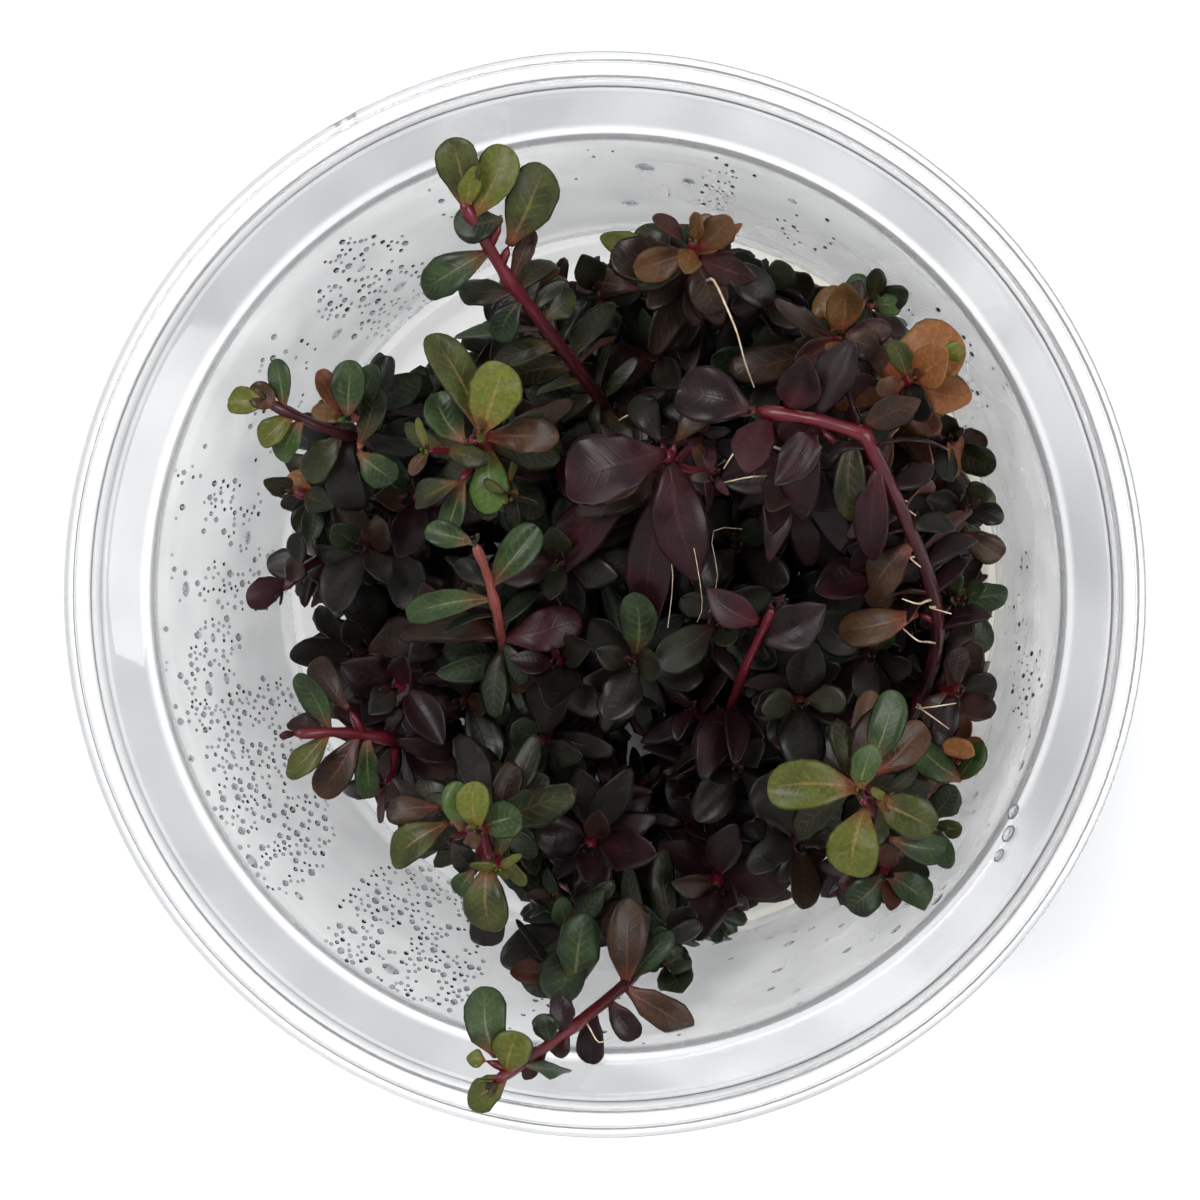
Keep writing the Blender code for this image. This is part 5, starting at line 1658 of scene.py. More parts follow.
def rounded_outline(corners: Sequence[tuple[float, float]], reach: float, steps: int = 3) -> list[tuple[float, float]]:
    """Rounds the corners of an outline.

    Args:
        corners: Its corners, as radius and height.
        reach: How far a corner's rounding goes along its sides, at most.
        steps: How many points each rounded corner has, less one.

    Returns:
        The outline's points. A corner on the axis stays.
    """
    outline: list[tuple[float, float]] = []
    count = len(corners)
    for k, (radius, height) in enumerate(corners):
        here = np.array((radius, height))
        before, after = np.array(corners[k - 1]), np.array(corners[(k + 1) % count])
        if radius <= 0:
            outline.append((radius, height))
            continue
        start = here + (before - here) * min(0.42, reach / max(float(np.linalg.norm(before - here)), 1e-6))
        end = here + (after - here) * min(0.42, reach / max(float(np.linalg.norm(after - here)), 1e-6))
        for s in range(steps + 1):
            t = s / steps
            spot = (1 - t) ** 2 * start + 2 * t * (1 - t) * here + t * t * end
            outline.append((float(spot[0]), float(spot[1])))
    return outline


@dataclass
class CultureCup:
    """The clear cup, turned from its outline, with a moulded nib under the lip."""

    outline: tuple[tuple[float, float], ...] = (
        (0.0, 2.2), (33.9, 2.2), (35.6, 3.9), (42.35, 54.5), (42.65, 54.85), (43.3, 55.3), (46.5, 56.8),
        (47.0, 57.8), (47.4, 59.4), (48.2, 60.0), (49.6, 60.0), (50.0, 59.6), (50.0, 57.6), (49.2, 57.6),
        (49.1, 58.8), (48.1, 58.8),
        (47.5, 55.8), (43.35, 54.45), (42.9, 53.9), (36.2, 2.2), (35.4, 0.0), (32.0, 0.0), (31.2, 1.0),
        (0.0, 1.0),
    )
    turns: int = 144
    nib_turn: float = 118.4
    nib_depth: float = 1.5
    nib_spread: float = 0.9
    rounding: float = 0.5

    def build(self) -> bpy.types.Object:
        """Turns the cup.

        Returns:
            The cup's piece.
        """
        outline = rounded_outline(self.outline, self.rounding)
        nib = math.radians(self.nib_turn)
        near = [nib + math.radians(step) for step in (-2.6, -1.9, -1.3, -0.8, -0.4, 0.0, 0.4, 0.8, 1.3, 1.9, 2.6)]
        even = [2 * math.pi * k / self.turns for k in range(self.turns)]
        angles = sorted([a for a in even if abs(a - nib) > math.radians(3.0)] + near)
        axis = [k for k, (radius, _) in enumerate(outline) if radius <= 0]
        rim = [k for k in range(len(outline)) if k not in axis]
        points: list[tuple[float, float, float]] = []
        for angle in angles:
            arc = (angle - nib) * 49.6
            for k in rim:
                radius, height = outline[k]
                under_lip = 1.0 if radius > 48.9 and height < 58.4 else 0.0
                drop = self.nib_depth * under_lip * math.exp(-((arc / self.nib_spread) ** 2))
                points.append((radius * math.cos(angle), radius * math.sin(angle), height - drop))
        size = len(rim)
        turns = len(angles)
        faces: list[tuple[int, ...]] = []
        for t in range(turns):
            u = (t + 1) % turns
            faces.extend((t * size + k, t * size + k + 1, u * size + k + 1, u * size + k) for k in range(size - 1))
        for k, ring_place in zip(axis, (0, size - 1)):
            pole = len(points)
            points.append((0.0, 0.0, outline[k][1]))
            faces.extend((pole, t * size + ring_place, ((t + 1) % turns) * size + ring_place) for t in range(turns))
        mesh = bpy.data.meshes.new("culture_cup")
        mesh.from_pydata([tuple(c * MM for c in p) for p in points], [], faces)
        work = bmesh.new()
        work.from_mesh(mesh)
        bmesh.ops.recalc_face_normals(work, faces=work.faces)
        work.to_mesh(mesh)
        work.free()
        mesh.polygons.foreach_set("use_smooth", [True] * len(mesh.polygons))
        obj = bpy.data.objects.new("culture_cup", mesh)
        bpy.context.scene.collection.objects.link(obj)
        mesh.materials.append(self.dress())
        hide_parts("cup")
        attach(obj, "root")
        LOG.info("%s: %d faces", obj.name, len(mesh.polygons))
        return obj

    def dress(self) -> bpy.types.Material:
        """Makes the clear moulded plastic, with painted shade: a grey band on the shoulder, a dark line along the
        inner crease and a grey outer lip.

        Returns:
            The material.
        """
        material, tree, shader = surface_material("clear_plastic")
        clear_shader(tree, shader, (0.97, 0.985, 0.99, 1.0), 1.49)
        shader.inputs["Transmission Weight"].default_value = 0.9
        haze = tree.noise(90.0, 1.0)
        split = tree.add("SeparateXYZ")
        tree.join(tree.add("TexCoord").outputs["Object"], split.inputs[0])
        across = tree.math("POWER", split.outputs["X"], 2.0)
        radius = tree.math("SQRT", tree.math("ADD", across, tree.math("POWER", split.outputs["Y"], 2.0)))
        low = tree.step(split.outputs["Z"], 0.0535, 0.0540)
        inner = tree.step(radius, 0.0432, 0.0438)
        outer = tree.step(radius, 0.0474, 0.0469)
        # Painted shade: the shoulder ring between these radii is tinted grey, broken up by the haze.
        streaks = tree.step(haze, 0.3, 0.7, 0.75, 1.0)
        shoulder_painted_shade = tree.math("MULTIPLY", tree.math("MULTIPLY", inner, outer), tree.math("MULTIPLY", low, streaks))
        colour = tree.blend(shoulder_painted_shade, (0.988, 0.99, 0.992, 1.0), (0.52, 0.525, 0.535, 1.0))
        # Painted shade: a thin dark line painted along the inner crease of the rim.
        crease_painted_shade = tree.math("MULTIPLY", tree.step(radius, 0.04215, 0.04230), tree.step(radius, 0.0429, 0.0427))
        colour = tree.blend(tree.math("MULTIPLY", crease_painted_shade, low), colour, (0.48, 0.49, 0.50, 1.0))
        # Painted shade: the outer lip beyond 49.3 mm is tinted grey.
        colour = tree.blend(tree.step(radius, 0.0493, 0.0497), colour, (0.62, 0.63, 0.64, 1.0))
        tree.join(colour, shader.inputs["Base Color"])
        wall = tree.math("SUBTRACT", radius, tree.math("MULTIPLY", split.outputs["Z"], 0.1334))
        inside = tree.math("MULTIPLY", tree.step(wall, 0.03545, 0.03535), tree.step(radius, 0.0345, 0.0352))
        fog = tree.math("MULTIPLY", tree.math("MULTIPLY", inside, tree.step(radius, 0.0434, 0.0430)), 0.2)
        tree.join(tree.math("ADD", tree.step(haze, 0.35, 0.75, 0.03, 0.09), fog), shader.inputs["Roughness"])
        return material


def clear_shader(tree: NodeTree, shader: bpy.types.Node, tint: tuple, ior: float) -> None:
    """Makes a Principled shader clear, and lets light through it to what it covers.

    Args:
        tree: The material's tree.
        shader: Its Principled shader.
        tint: The colour that light takes in it.
        ior: Its index of refraction.
    """
    shader.inputs["Base Color"].default_value = tint
    shader.inputs["Metallic"].default_value = 0.0
    shader.inputs["Transmission Weight"].default_value = 1.0
    shader.inputs["IOR"].default_value = ior
    output = next(node for node in tree.tree.nodes if node.type == "OUTPUT_MATERIAL")
    path = tree.add("LightPath")
    through = tree.add("BsdfTransparent")
    through.inputs["Color"].default_value = (0.985, 0.985, 0.985, 1.0)
    mix = tree.add("MixShader")
    straight = tree.math("MAXIMUM", path.outputs["Is Shadow Ray"], path.outputs["Is Diffuse Ray"])
    tree.join(straight, mix.inputs[0])
    tree.join(shader.outputs["BSDF"], mix.inputs[1])
    tree.join(through.outputs["BSDF"], mix.inputs[2])
    tree.join(mix.outputs["Shader"], output.inputs["Surface"])


@dataclass
class AgarGel:
    """The block of gel in the cup's foot, with a raised edge and a gently uneven top."""

    floor: float = 2.5
    top: float = 13.0
    foot_radius: float = 33.7
    low_radius: float = 35.3
    low_height: float = 4.0
    top_radius: float = 36.45
    turns: int = 96
    rings: int = 22

    def build(self) -> bpy.types.Object:
        """Turns the gel.

        Returns:
            The gel's piece.
        """
        outline = [(self.foot_radius, self.floor), (self.low_radius, self.low_height), (self.top_radius, self.top)]
        outline += [(self.top_radius * (1 - (k / self.rings) ** 1.15), self.top) for k in range(1, self.rings)]
        points = []
        for t in range(self.turns):
            angle = 2 * math.pi * t / self.turns
            for radius, height in outline:
                x, y = radius * math.cos(angle), radius * math.sin(angle)
                if height >= self.top:
                    ripple = noise.noise(Vector((x / 9.0, y / 9.0, 1.7))) * 0.35
                    calm = 1.0 - float(smoothstep(24.0, 33.0, radius))
                    height = self.top - 0.5 + ripple * calm + 0.3 * float(smoothstep(32.0, 36.45, radius))
                points.append((x, y, min(height, self.top)))
        size = len(outline)
        faces: list[tuple[int, ...]] = []
        for t in range(self.turns):
            u = (t + 1) % self.turns
            faces.extend((t * size + k, u * size + k, u * size + k + 1, t * size + k + 1) for k in range(size - 1))
        foot = len(points)
        points.append((0.0, 0.0, self.floor))
        crown = len(points)
        points.append((0.0, 0.0, self.top - 0.5))
        for t in range(self.turns):
            u = (t + 1) % self.turns
            faces.append((foot, u * size, t * size))
            faces.append((crown, t * size + size - 1, u * size + size - 1))
        mesh = bpy.data.meshes.new("agar_block")
        mesh.from_pydata([tuple(c * MM for c in p) for p in points], [], faces)
        mesh.polygons.foreach_set("use_smooth", [True] * len(mesh.polygons))
        obj = bpy.data.objects.new("agar_block", mesh)
        bpy.context.scene.collection.objects.link(obj)
        mesh.materials.append(self.dress())
        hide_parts("gel")
        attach(obj, "root")
        LOG.info("%s: %d faces", obj.name, len(mesh.polygons))
        return obj

    def dress(self) -> bpy.types.Material:
        """Makes the cloudy gel: cream clouds, painted whiter towards -x as painted light.

        Returns:
            The material.
        """
        material, tree, shader = surface_material("cloudy_agar")
        clear_shader(tree, shader, (0.97, 0.96, 0.93, 1.0), 1.34)
        cloud = tree.noise(140.0, 1.0)
        split = tree.add("SeparateXYZ")
        tree.join(tree.add("TexCoord").outputs["Object"], split.inputs[0])
        cream = tree.blend(tree.step(cloud, 0.3, 0.7), (0.84, 0.80, 0.66, 1.0), (0.93, 0.90, 0.80, 1.0))
        # Painted light: the gel is painted near white towards -x and keeps its cream clouds towards +x.
        colour = tree.blend(tree.step(split.outputs["X"], -0.012, 0.030), (0.985, 0.985, 0.975, 1.0), cream)
        tree.join(colour, shader.inputs["Base Color"])
        tree.join(tree.step(cloud, 0.3, 0.7, 0.30, 0.45), shader.inputs["Roughness"])
        shader.inputs["Transmission Weight"].default_value = 0.4
        return material


# Water and roots


def geometry_group(name: str, inputs: dict[str, tuple[str, object]]) -> tuple:
    """Starts a geometry node group that takes a base mesh and gives a finished one.

    Args:
        name: The group's name.
        inputs: Each other input's socket type and usual value, by name.

    Returns:
        The group, its NodeTree, its input node and its output node.
    """
    group = bpy.data.node_groups.new(name, "GeometryNodeTree")
    group.interface.new_socket(name="Geometry", in_out="INPUT", socket_type="NodeSocketGeometry")
    for title, (kind, value) in inputs.items():
        socket = group.interface.new_socket(name=title, in_out="INPUT", socket_type=kind)
        if value is not None:
            socket.default_value = value
    group.interface.new_socket(name="Geometry", in_out="OUTPUT", socket_type="NodeSocketGeometry")
    return group, NodeTree(group), group.nodes.new("NodeGroupInput"), group.nodes.new("NodeGroupOutput")


def grown(name: str, base: bpy.types.Mesh, group: bpy.types.NodeTree, values: dict[str, object]) -> bpy.types.Object:
    """Runs a geometry node group over a base mesh and keeps the result as a plain mesh.

    Args:
        name: The new object's name.
        base: The mesh that the group starts from.
        group: The group.
        values: What its inputs are set to, by name.

    Returns:
        The new object, linked to the scene.
    """
    source = bpy.data.objects.new(name + "_base", base)
    bpy.context.scene.collection.objects.link(source)
    modifier = source.modifiers.new(name + "_growth", "NODES")
    modifier.node_group = group
    for item in group.interface.items_tree:
        if item.item_type == "SOCKET" and item.in_out == "INPUT" and item.name in values:
            modifier[item.identifier] = values[item.name]
    graph = bpy.context.evaluated_depsgraph_get()
    mesh = bpy.data.meshes.new_from_object(source.evaluated_get(graph))
    mesh.name = name
    finish = next(material for material in mesh.materials if material is not None)
    mesh.materials.clear()
    mesh.materials.append(finish)
    mesh.polygons.foreach_set("material_index", [0] * len(mesh.polygons))
    bpy.data.objects.remove(source)
    obj = bpy.data.objects.new(name, mesh)
    bpy.context.scene.collection.objects.link(obj)
    return obj


def marked_points(name: str, points: np.ndarray, edges: list[tuple[int, int]], marks: dict[str, np.ndarray]) -> bpy.types.Mesh:
    """Makes a mesh of bare points, joined or not, that carry named values.

    Args:
        name: The mesh's name.
        points: The points, in millimetres.
        edges: The pairs of points that are joined.
        marks: A number or a vector for each point, by name.

    Returns:
        The mesh.
    """
    mesh = bpy.data.meshes.new(name)
    mesh.from_pydata((points * MM).tolist(), edges, [])
    for title, values in marks.items():
        flat = values.ndim == 1
        attribute = mesh.attributes.new(title, "FLOAT" if flat else "FLOAT_VECTOR", "POINT")
        attribute.data.foreach_set("value" if flat else "vector", values.astype(np.float32).ravel())
    return mesh


@dataclass
class WallMist:
    """The thin film of mist on the cup's inner wall, thickest on one side."""

    foot: tuple[float, float] = (36.85, 13.4)
    top: tuple[float, float] = (42.25, 53.9)
    off_wall: float = 0.06
    film: float = 0.03
    turns: int = 96
    steps: int = 12

    def build(self) -> bpy.types.Object:
        """Turns the film.

        Returns:
            The film's piece.
        """
        shares = [k / self.steps for k in range(self.steps + 1)]
        (low_radius, low), (high_radius, high) = self.foot, self.top
        inner = [(low_radius + s * (high_radius - low_radius) - self.off_wall, low + s * (high - low)) for s in shares]
        outline = inner + [(radius + self.film, height) for radius, height in reversed(inner)]
        points, faces, size = [], [], len(outline)
        for t in range(self.turns):
            angle = 2 * math.pi * t / self.turns
            points.extend((radius * math.cos(angle), radius * math.sin(angle), height) for radius, height in outline)
            u = (t + 1) % self.turns
            for k in range(size):
                after = (k + 1) % size
                faces.append((t * size + k, t * size + after, u * size + after, u * size + k))
        mesh = bpy.data.meshes.new("wall_mist")
        mesh.from_pydata([tuple(c * MM for c in p) for p in points], [], faces)
        work = bmesh.new()
        work.from_mesh(mesh)
        bmesh.ops.recalc_face_normals(work, faces=work.faces)
        work.to_mesh(mesh)
        work.free()
        mesh.polygons.foreach_set("use_smooth", [True] * len(mesh.polygons))
        mesh.materials.append(self.dress())
        obj = bpy.data.objects.new("wall_mist", mesh)
        bpy.context.scene.collection.objects.link(obj)
        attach(obj, "root")
        LOG.info("%s: %d faces", obj.name, len(mesh.polygons))
        return obj

    def dress(self) -> bpy.types.Material:
        """Makes the mist, white and mostly clear, in soft patches.

        Returns:
            The material.
        """
        material, tree, shader = surface_material("mist_film")
        split = tree.add("SeparateXYZ")
        tree.join(tree.add("TexCoord").outputs["Object"], split.inputs[0])
        patches = tree.step(tree.noise(70.0, 1.0), 0.3, 0.75, 0.7, 1.0)
        side = tree.step(split.outputs["X"], 0.030, -0.030, 0.3, 0.5)
        clear_shader(tree, shader, (0.985, 0.99, 0.985, 1.0), 1.12)
        tree.join(tree.step(tree.noise(200.0, 0.0), 0.3, 0.7, 0.75, 0.9), shader.inputs["Roughness"])
        shader.inputs["Transmission Weight"].default_value = 0.7
        shader.inputs["Specular IOR Level"].default_value = 0.1
        tree.join(tree.math("MULTIPLY", patches, side), shader.inputs["Alpha"])
        return material


@dataclass(frozen=True)
class Mist:
    """One cloud of fine beads on the cup's inner wall.

    Its left, top, right and bottom are places in the picture. Thickness is beads on each square millimetre
    seen, and the sizes are bead radii in millimetres. Spread stretches a bead along the wall's round.
    """

    left: float
    top: float
    right: float
    bottom: float
    thickness: float
    small: float = 0.17
    large: float = 0.42
    spread: float = 1.0
    rise: float = 2.0


@dataclass(frozen=True)
class Drop:
    """One larger drop: its picture place, its half width and how much longer than wide it is."""

    across: float
    down: float
    size: float
    longer: float = 1.3


@dataclass
class Condensation:
    """The water on the cup: fine beads and run-down drops inside the wall, and a little on the ledge."""

    wall_foot: tuple[float, float] = (35.6, 3.9)
    wall_top: tuple[float, float] = (42.35, 54.5)
    mists: tuple[Mist, ...] = (
        Mist(318, 225, 425, 335, 7.0), Mist(430, 165, 520, 215, 1.0), Mist(200, 478, 262, 524, 8.0),
        Mist(192, 545, 292, 612, 6.0), Mist(184, 615, 245, 765, 8.0), Mist(212, 680, 335, 905, 7.0),
        Mist(325, 875, 485, 1035, 8.0), Mist(240, 330, 330, 470, 0.7), Mist(150, 420, 240, 900, 0.5),
        Mist(560, 110, 760, 205, 0.35, 0.12, 0.34), Mist(685, 165, 745, 205, 4.4, 0.12, 0.3),
        Mist(775, 205, 835, 245, 1.6), Mist(895, 245, 1005, 425, 0.9, 0.12, 0.34),
        Mist(1000, 550, 1036, 745, 2.2, 0.1, 0.32), Mist(700, 850, 1010, 1015, 0.35, 0.12, 0.3, 2.6, 1.2),
        Mist(485, 1000, 720, 1075, 0.4, 0.1, 0.3, 1.6, 1.6), Mist(960, 740, 1030, 900, 0.4, 0.1, 0.3, 2.2, 1.2),
    )
    drops: tuple[Drop, ...] = (
        Drop(400, 280, 0.85), Drop(337, 328, 0.75), Drop(247, 537, 0.7), Drop(184, 590, 0.8),
        Drop(207, 692, 0.8), Drop(225, 682, 0.6), Drop(250, 870, 0.85), Drop(390, 980, 0.95),
        Drop(362, 262, 0.5), Drop(300, 400, 0.45), Drop(232, 760, 0.5), Drop(298, 905, 0.55),
        Drop(352, 940, 0.6), Drop(268, 792, 0.45), Drop(212, 640, 0.5), Drop(430, 1010, 0.55),
        Drop(645, 160, 1.0, 1.7), Drop(630, 196, 0.9, 1.7), Drop(688, 175, 0.7, 2.2), Drop(790, 196, 0.5, 1.8),
        Drop(905, 905, 0.5, 1.4), Drop(845, 955, 0.5, 1.4), Drop(770, 995, 0.45, 1.4), Drop(985, 300, 0.5, 1.8),
    )
    ledge_height: float = 55.4
    ledge_drops: tuple[tuple[float, float, float], ...] = (
        (720.0, 130.0, 1.7), (1006.0, 812.0, 0.8), (1001.0, 834.0, 0.9), (992.0, 856.0, 0.7),
    )
    apart: float = 1.06
    off_wall: float = 0.1
    bead_sides: int = 8
    bead_rings: int = 4
    seed: int = 23

    def on_wall(self, across: float, down: float) -> Optional[tuple[np.ndarray, np.ndarray, np.ndarray]]:
        """Finds where the sight line of a picture place meets the inner wall.

        Args:
            across, down: The picture place.

        Returns:
            The point, the way out of the wall and the way up along it, or None past the wall.
        """
        (low_radius, low), (high_radius, high) = self.wall_foot, self.wall_top

        def beyond(height: float) -> float:
            """How far outside the inner wall the sight line is at a height."""
            wall = low_radius + (height - low) / (high - low) * (high_radius - low_radius)
            return float(np.hypot(*sighted(across, down, height)[:2])) - wall

        under, over = low, high - 0.3
        if beyond(over) > 0 or beyond(under) < 0:
            return None
        for _ in range(18):
            middle = (under + over) / 2
            under, over = (middle, over) if beyond(middle) > 0 else (under, middle)
        point = sighted(across, down, over)
        away = unit(point * (1, 1, 0))
        slope = math.atan2(high_radius - low_radius, high - low)
        return point, -away * math.cos(slope) + UP * math.sin(slope), away * math.sin(slope) + UP * math.cos(slope)

    def build(self) -> bpy.types.Object:
        """Lays out all the beads and grows them.

        Returns:
            The water's piece.
        """
        draw = np.random.default_rng(self.seed)
        points, outs, ways, sizes, seen = [], [], [], [], []

        def lay(spot: Optional[tuple], size: tuple[float, float, float], off: float = self.off_wall) -> None:
            """Keeps one bead, if the place is on the wall and no other bead is near."""
            if spot is None:
                return
            at, out, way = spot
            place = pictured(at[None])[0] / PICTURE_SCALE
            if seen:
                others = np.array(seen)
                away = np.hypot(others[:, 0] - place[0], others[:, 1] - place[1])
                if bool((away < self.apart * (size[0] + others[:, 2])).any()):
                    return
            seen.append((*place, size[0]))
            for kept, value in zip((points, outs, ways, sizes), (at + out * (size[2] * 0.8 + off), out, way, size)):
                kept.append(value)

        for drop in self.drops:
            size = drop.size
            lay(self.on_wall(drop.across, drop.down), (size, size * drop.longer, size * 0.26))
        for mist in self.mists:
            middle = np.array((mist.left + mist.right, mist.top + mist.bottom)) / 2
            half = np.array((mist.right - mist.left, mist.bottom - mist.top)) / 2
            area = 4 * half[0] * half[1] / abs(PICTURE_SCALE[0] * PICTURE_SCALE[1])
            for _ in range(int(area * mist.thickness)):
                share = draw.uniform(-1, 1, 2)
                across, down = middle + share * half
                patchy = noise.noise(Vector((across / 26.0, down / 26.0, 3.1)))
                size = mist.small + (mist.large - mist.small) * draw.uniform(0, 1) ** 2.2
                if float(np.hypot(*share)) < 1.0 + 0.3 * patchy and patchy > -0.22:
                    lay(self.on_wall(across, down), (size * mist.spread, size * mist.rise, size * 0.65))
        for across, down, half in self.ledge_drops:
            spot = sighted(across, down, self.ledge_height)
            away = unit(spot * (1, 1, 0))
            lay((spot, UP, away), (half, half * 0.55, half * 0.25), 0.0)
        base = marked_points(
            "water_beads", np.array(points), [],
            {"out": np.array(outs), "way": np.array(ways), "size": np.array(sizes)},
        )
        values = {"Sides": self.bead_sides, "Rings": self.bead_rings, "Water": self.dress()}
        obj = grown("condensation", base, self.bead_group(), values)
        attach(obj, "root")
        LOG.info("%s: %d beads, %d faces", obj.name, len(points), len(obj.data.polygons))
        return obj

    def bead_group(self) -> bpy.types.NodeTree:
        """Builds the tree that sets a flattened bead on every marked point.

        Returns:
            The group.
        """
        group, tree, given, result = geometry_group(
            "bead_growth",
            {
                "Sides": ("NodeSocketInt", 8), "Rings": ("NodeSocketInt", 4),
                "Water": ("NodeSocketMaterial", None),
            },
        )

        def mark(name: str) -> bpy.types.NodeSocket:
            """Reads a point's vector."""
            node = tree.add("GeometryNodeInputNamedAttribute", data_type="FLOAT_VECTOR")
            node.inputs["Name"].default_value = name
            return node.outputs["Attribute"]

        ball = tree.add("GeometryNodeMeshUVSphere")
        tree.join(given.outputs["Sides"], ball.inputs["Segments"])
        tree.join(given.outputs["Rings"], ball.inputs["Rings"])
        ball.inputs["Radius"].default_value = MM
        smooth = tree.add("GeometryNodeSetShadeSmooth")
        tree.join(ball.outputs["Mesh"], smooth.inputs[0])
        stand = tree.add("FunctionNodeAlignRotationToVector", axis="Z")
        tree.join(mark("out"), stand.inputs["Vector"])
        turn = tree.add("FunctionNodeAlignRotationToVector", axis="Y", pivot_axis="Z")
        tree.join(stand.outputs[0], turn.inputs["Rotation"])
        tree.join(mark("way"), turn.inputs["Vector"])
        spots = tree.add("GeometryNodeMeshToPoints")
        tree.join(given.outputs["Geometry"], spots.inputs["Mesh"])
        setting = tree.add("GeometryNodeInstanceOnPoints")
        tree.join(spots.outputs[0], setting.inputs["Points"])
        tree.join(smooth.outputs[0], setting.inputs["Instance"])
        tree.join(turn.outputs[0], setting.inputs["Rotation"])
        tree.join(mark("size"), setting.inputs["Scale"])
        real = tree.add("GeometryNodeRealizeInstances")
        tree.join(setting.outputs[0], real.inputs[0])
        dressed = tree.add("GeometryNodeSetMaterial")
        tree.join(real.outputs[0], dressed.inputs["Geometry"])
        tree.join(given.outputs["Water"], dressed.inputs["Material"])
        tree.join(dressed.outputs[0], result.inputs[0])
        return group

    def dress(self) -> bpy.types.Material:
        """Makes the water, tinted grey-blue as painted shade for the drops' dark look.

        Returns:
            The material.
        """
        material, tree, shader = surface_material("water_beads")
        # Painted shade: the clear water is tinted grey-blue so the drops read dark.
        clear_shader(tree, shader, (0.58, 0.61, 0.64, 1.0), 1.33)
        tree.join(tree.step(tree.noise(300.0, 0.0), 0.3, 0.7, 0.02, 0.08), shader.inputs["Roughness"])
        return material


@dataclass(frozen=True)
class SeenRoot:
    """One root over the leaves: the shoot it leaves, its picture places, its heights and its thickness."""

    shoot: str
    places: tuple[tuple[float, float], ...]
    start: float
    end: float
    thick: float = 0.26


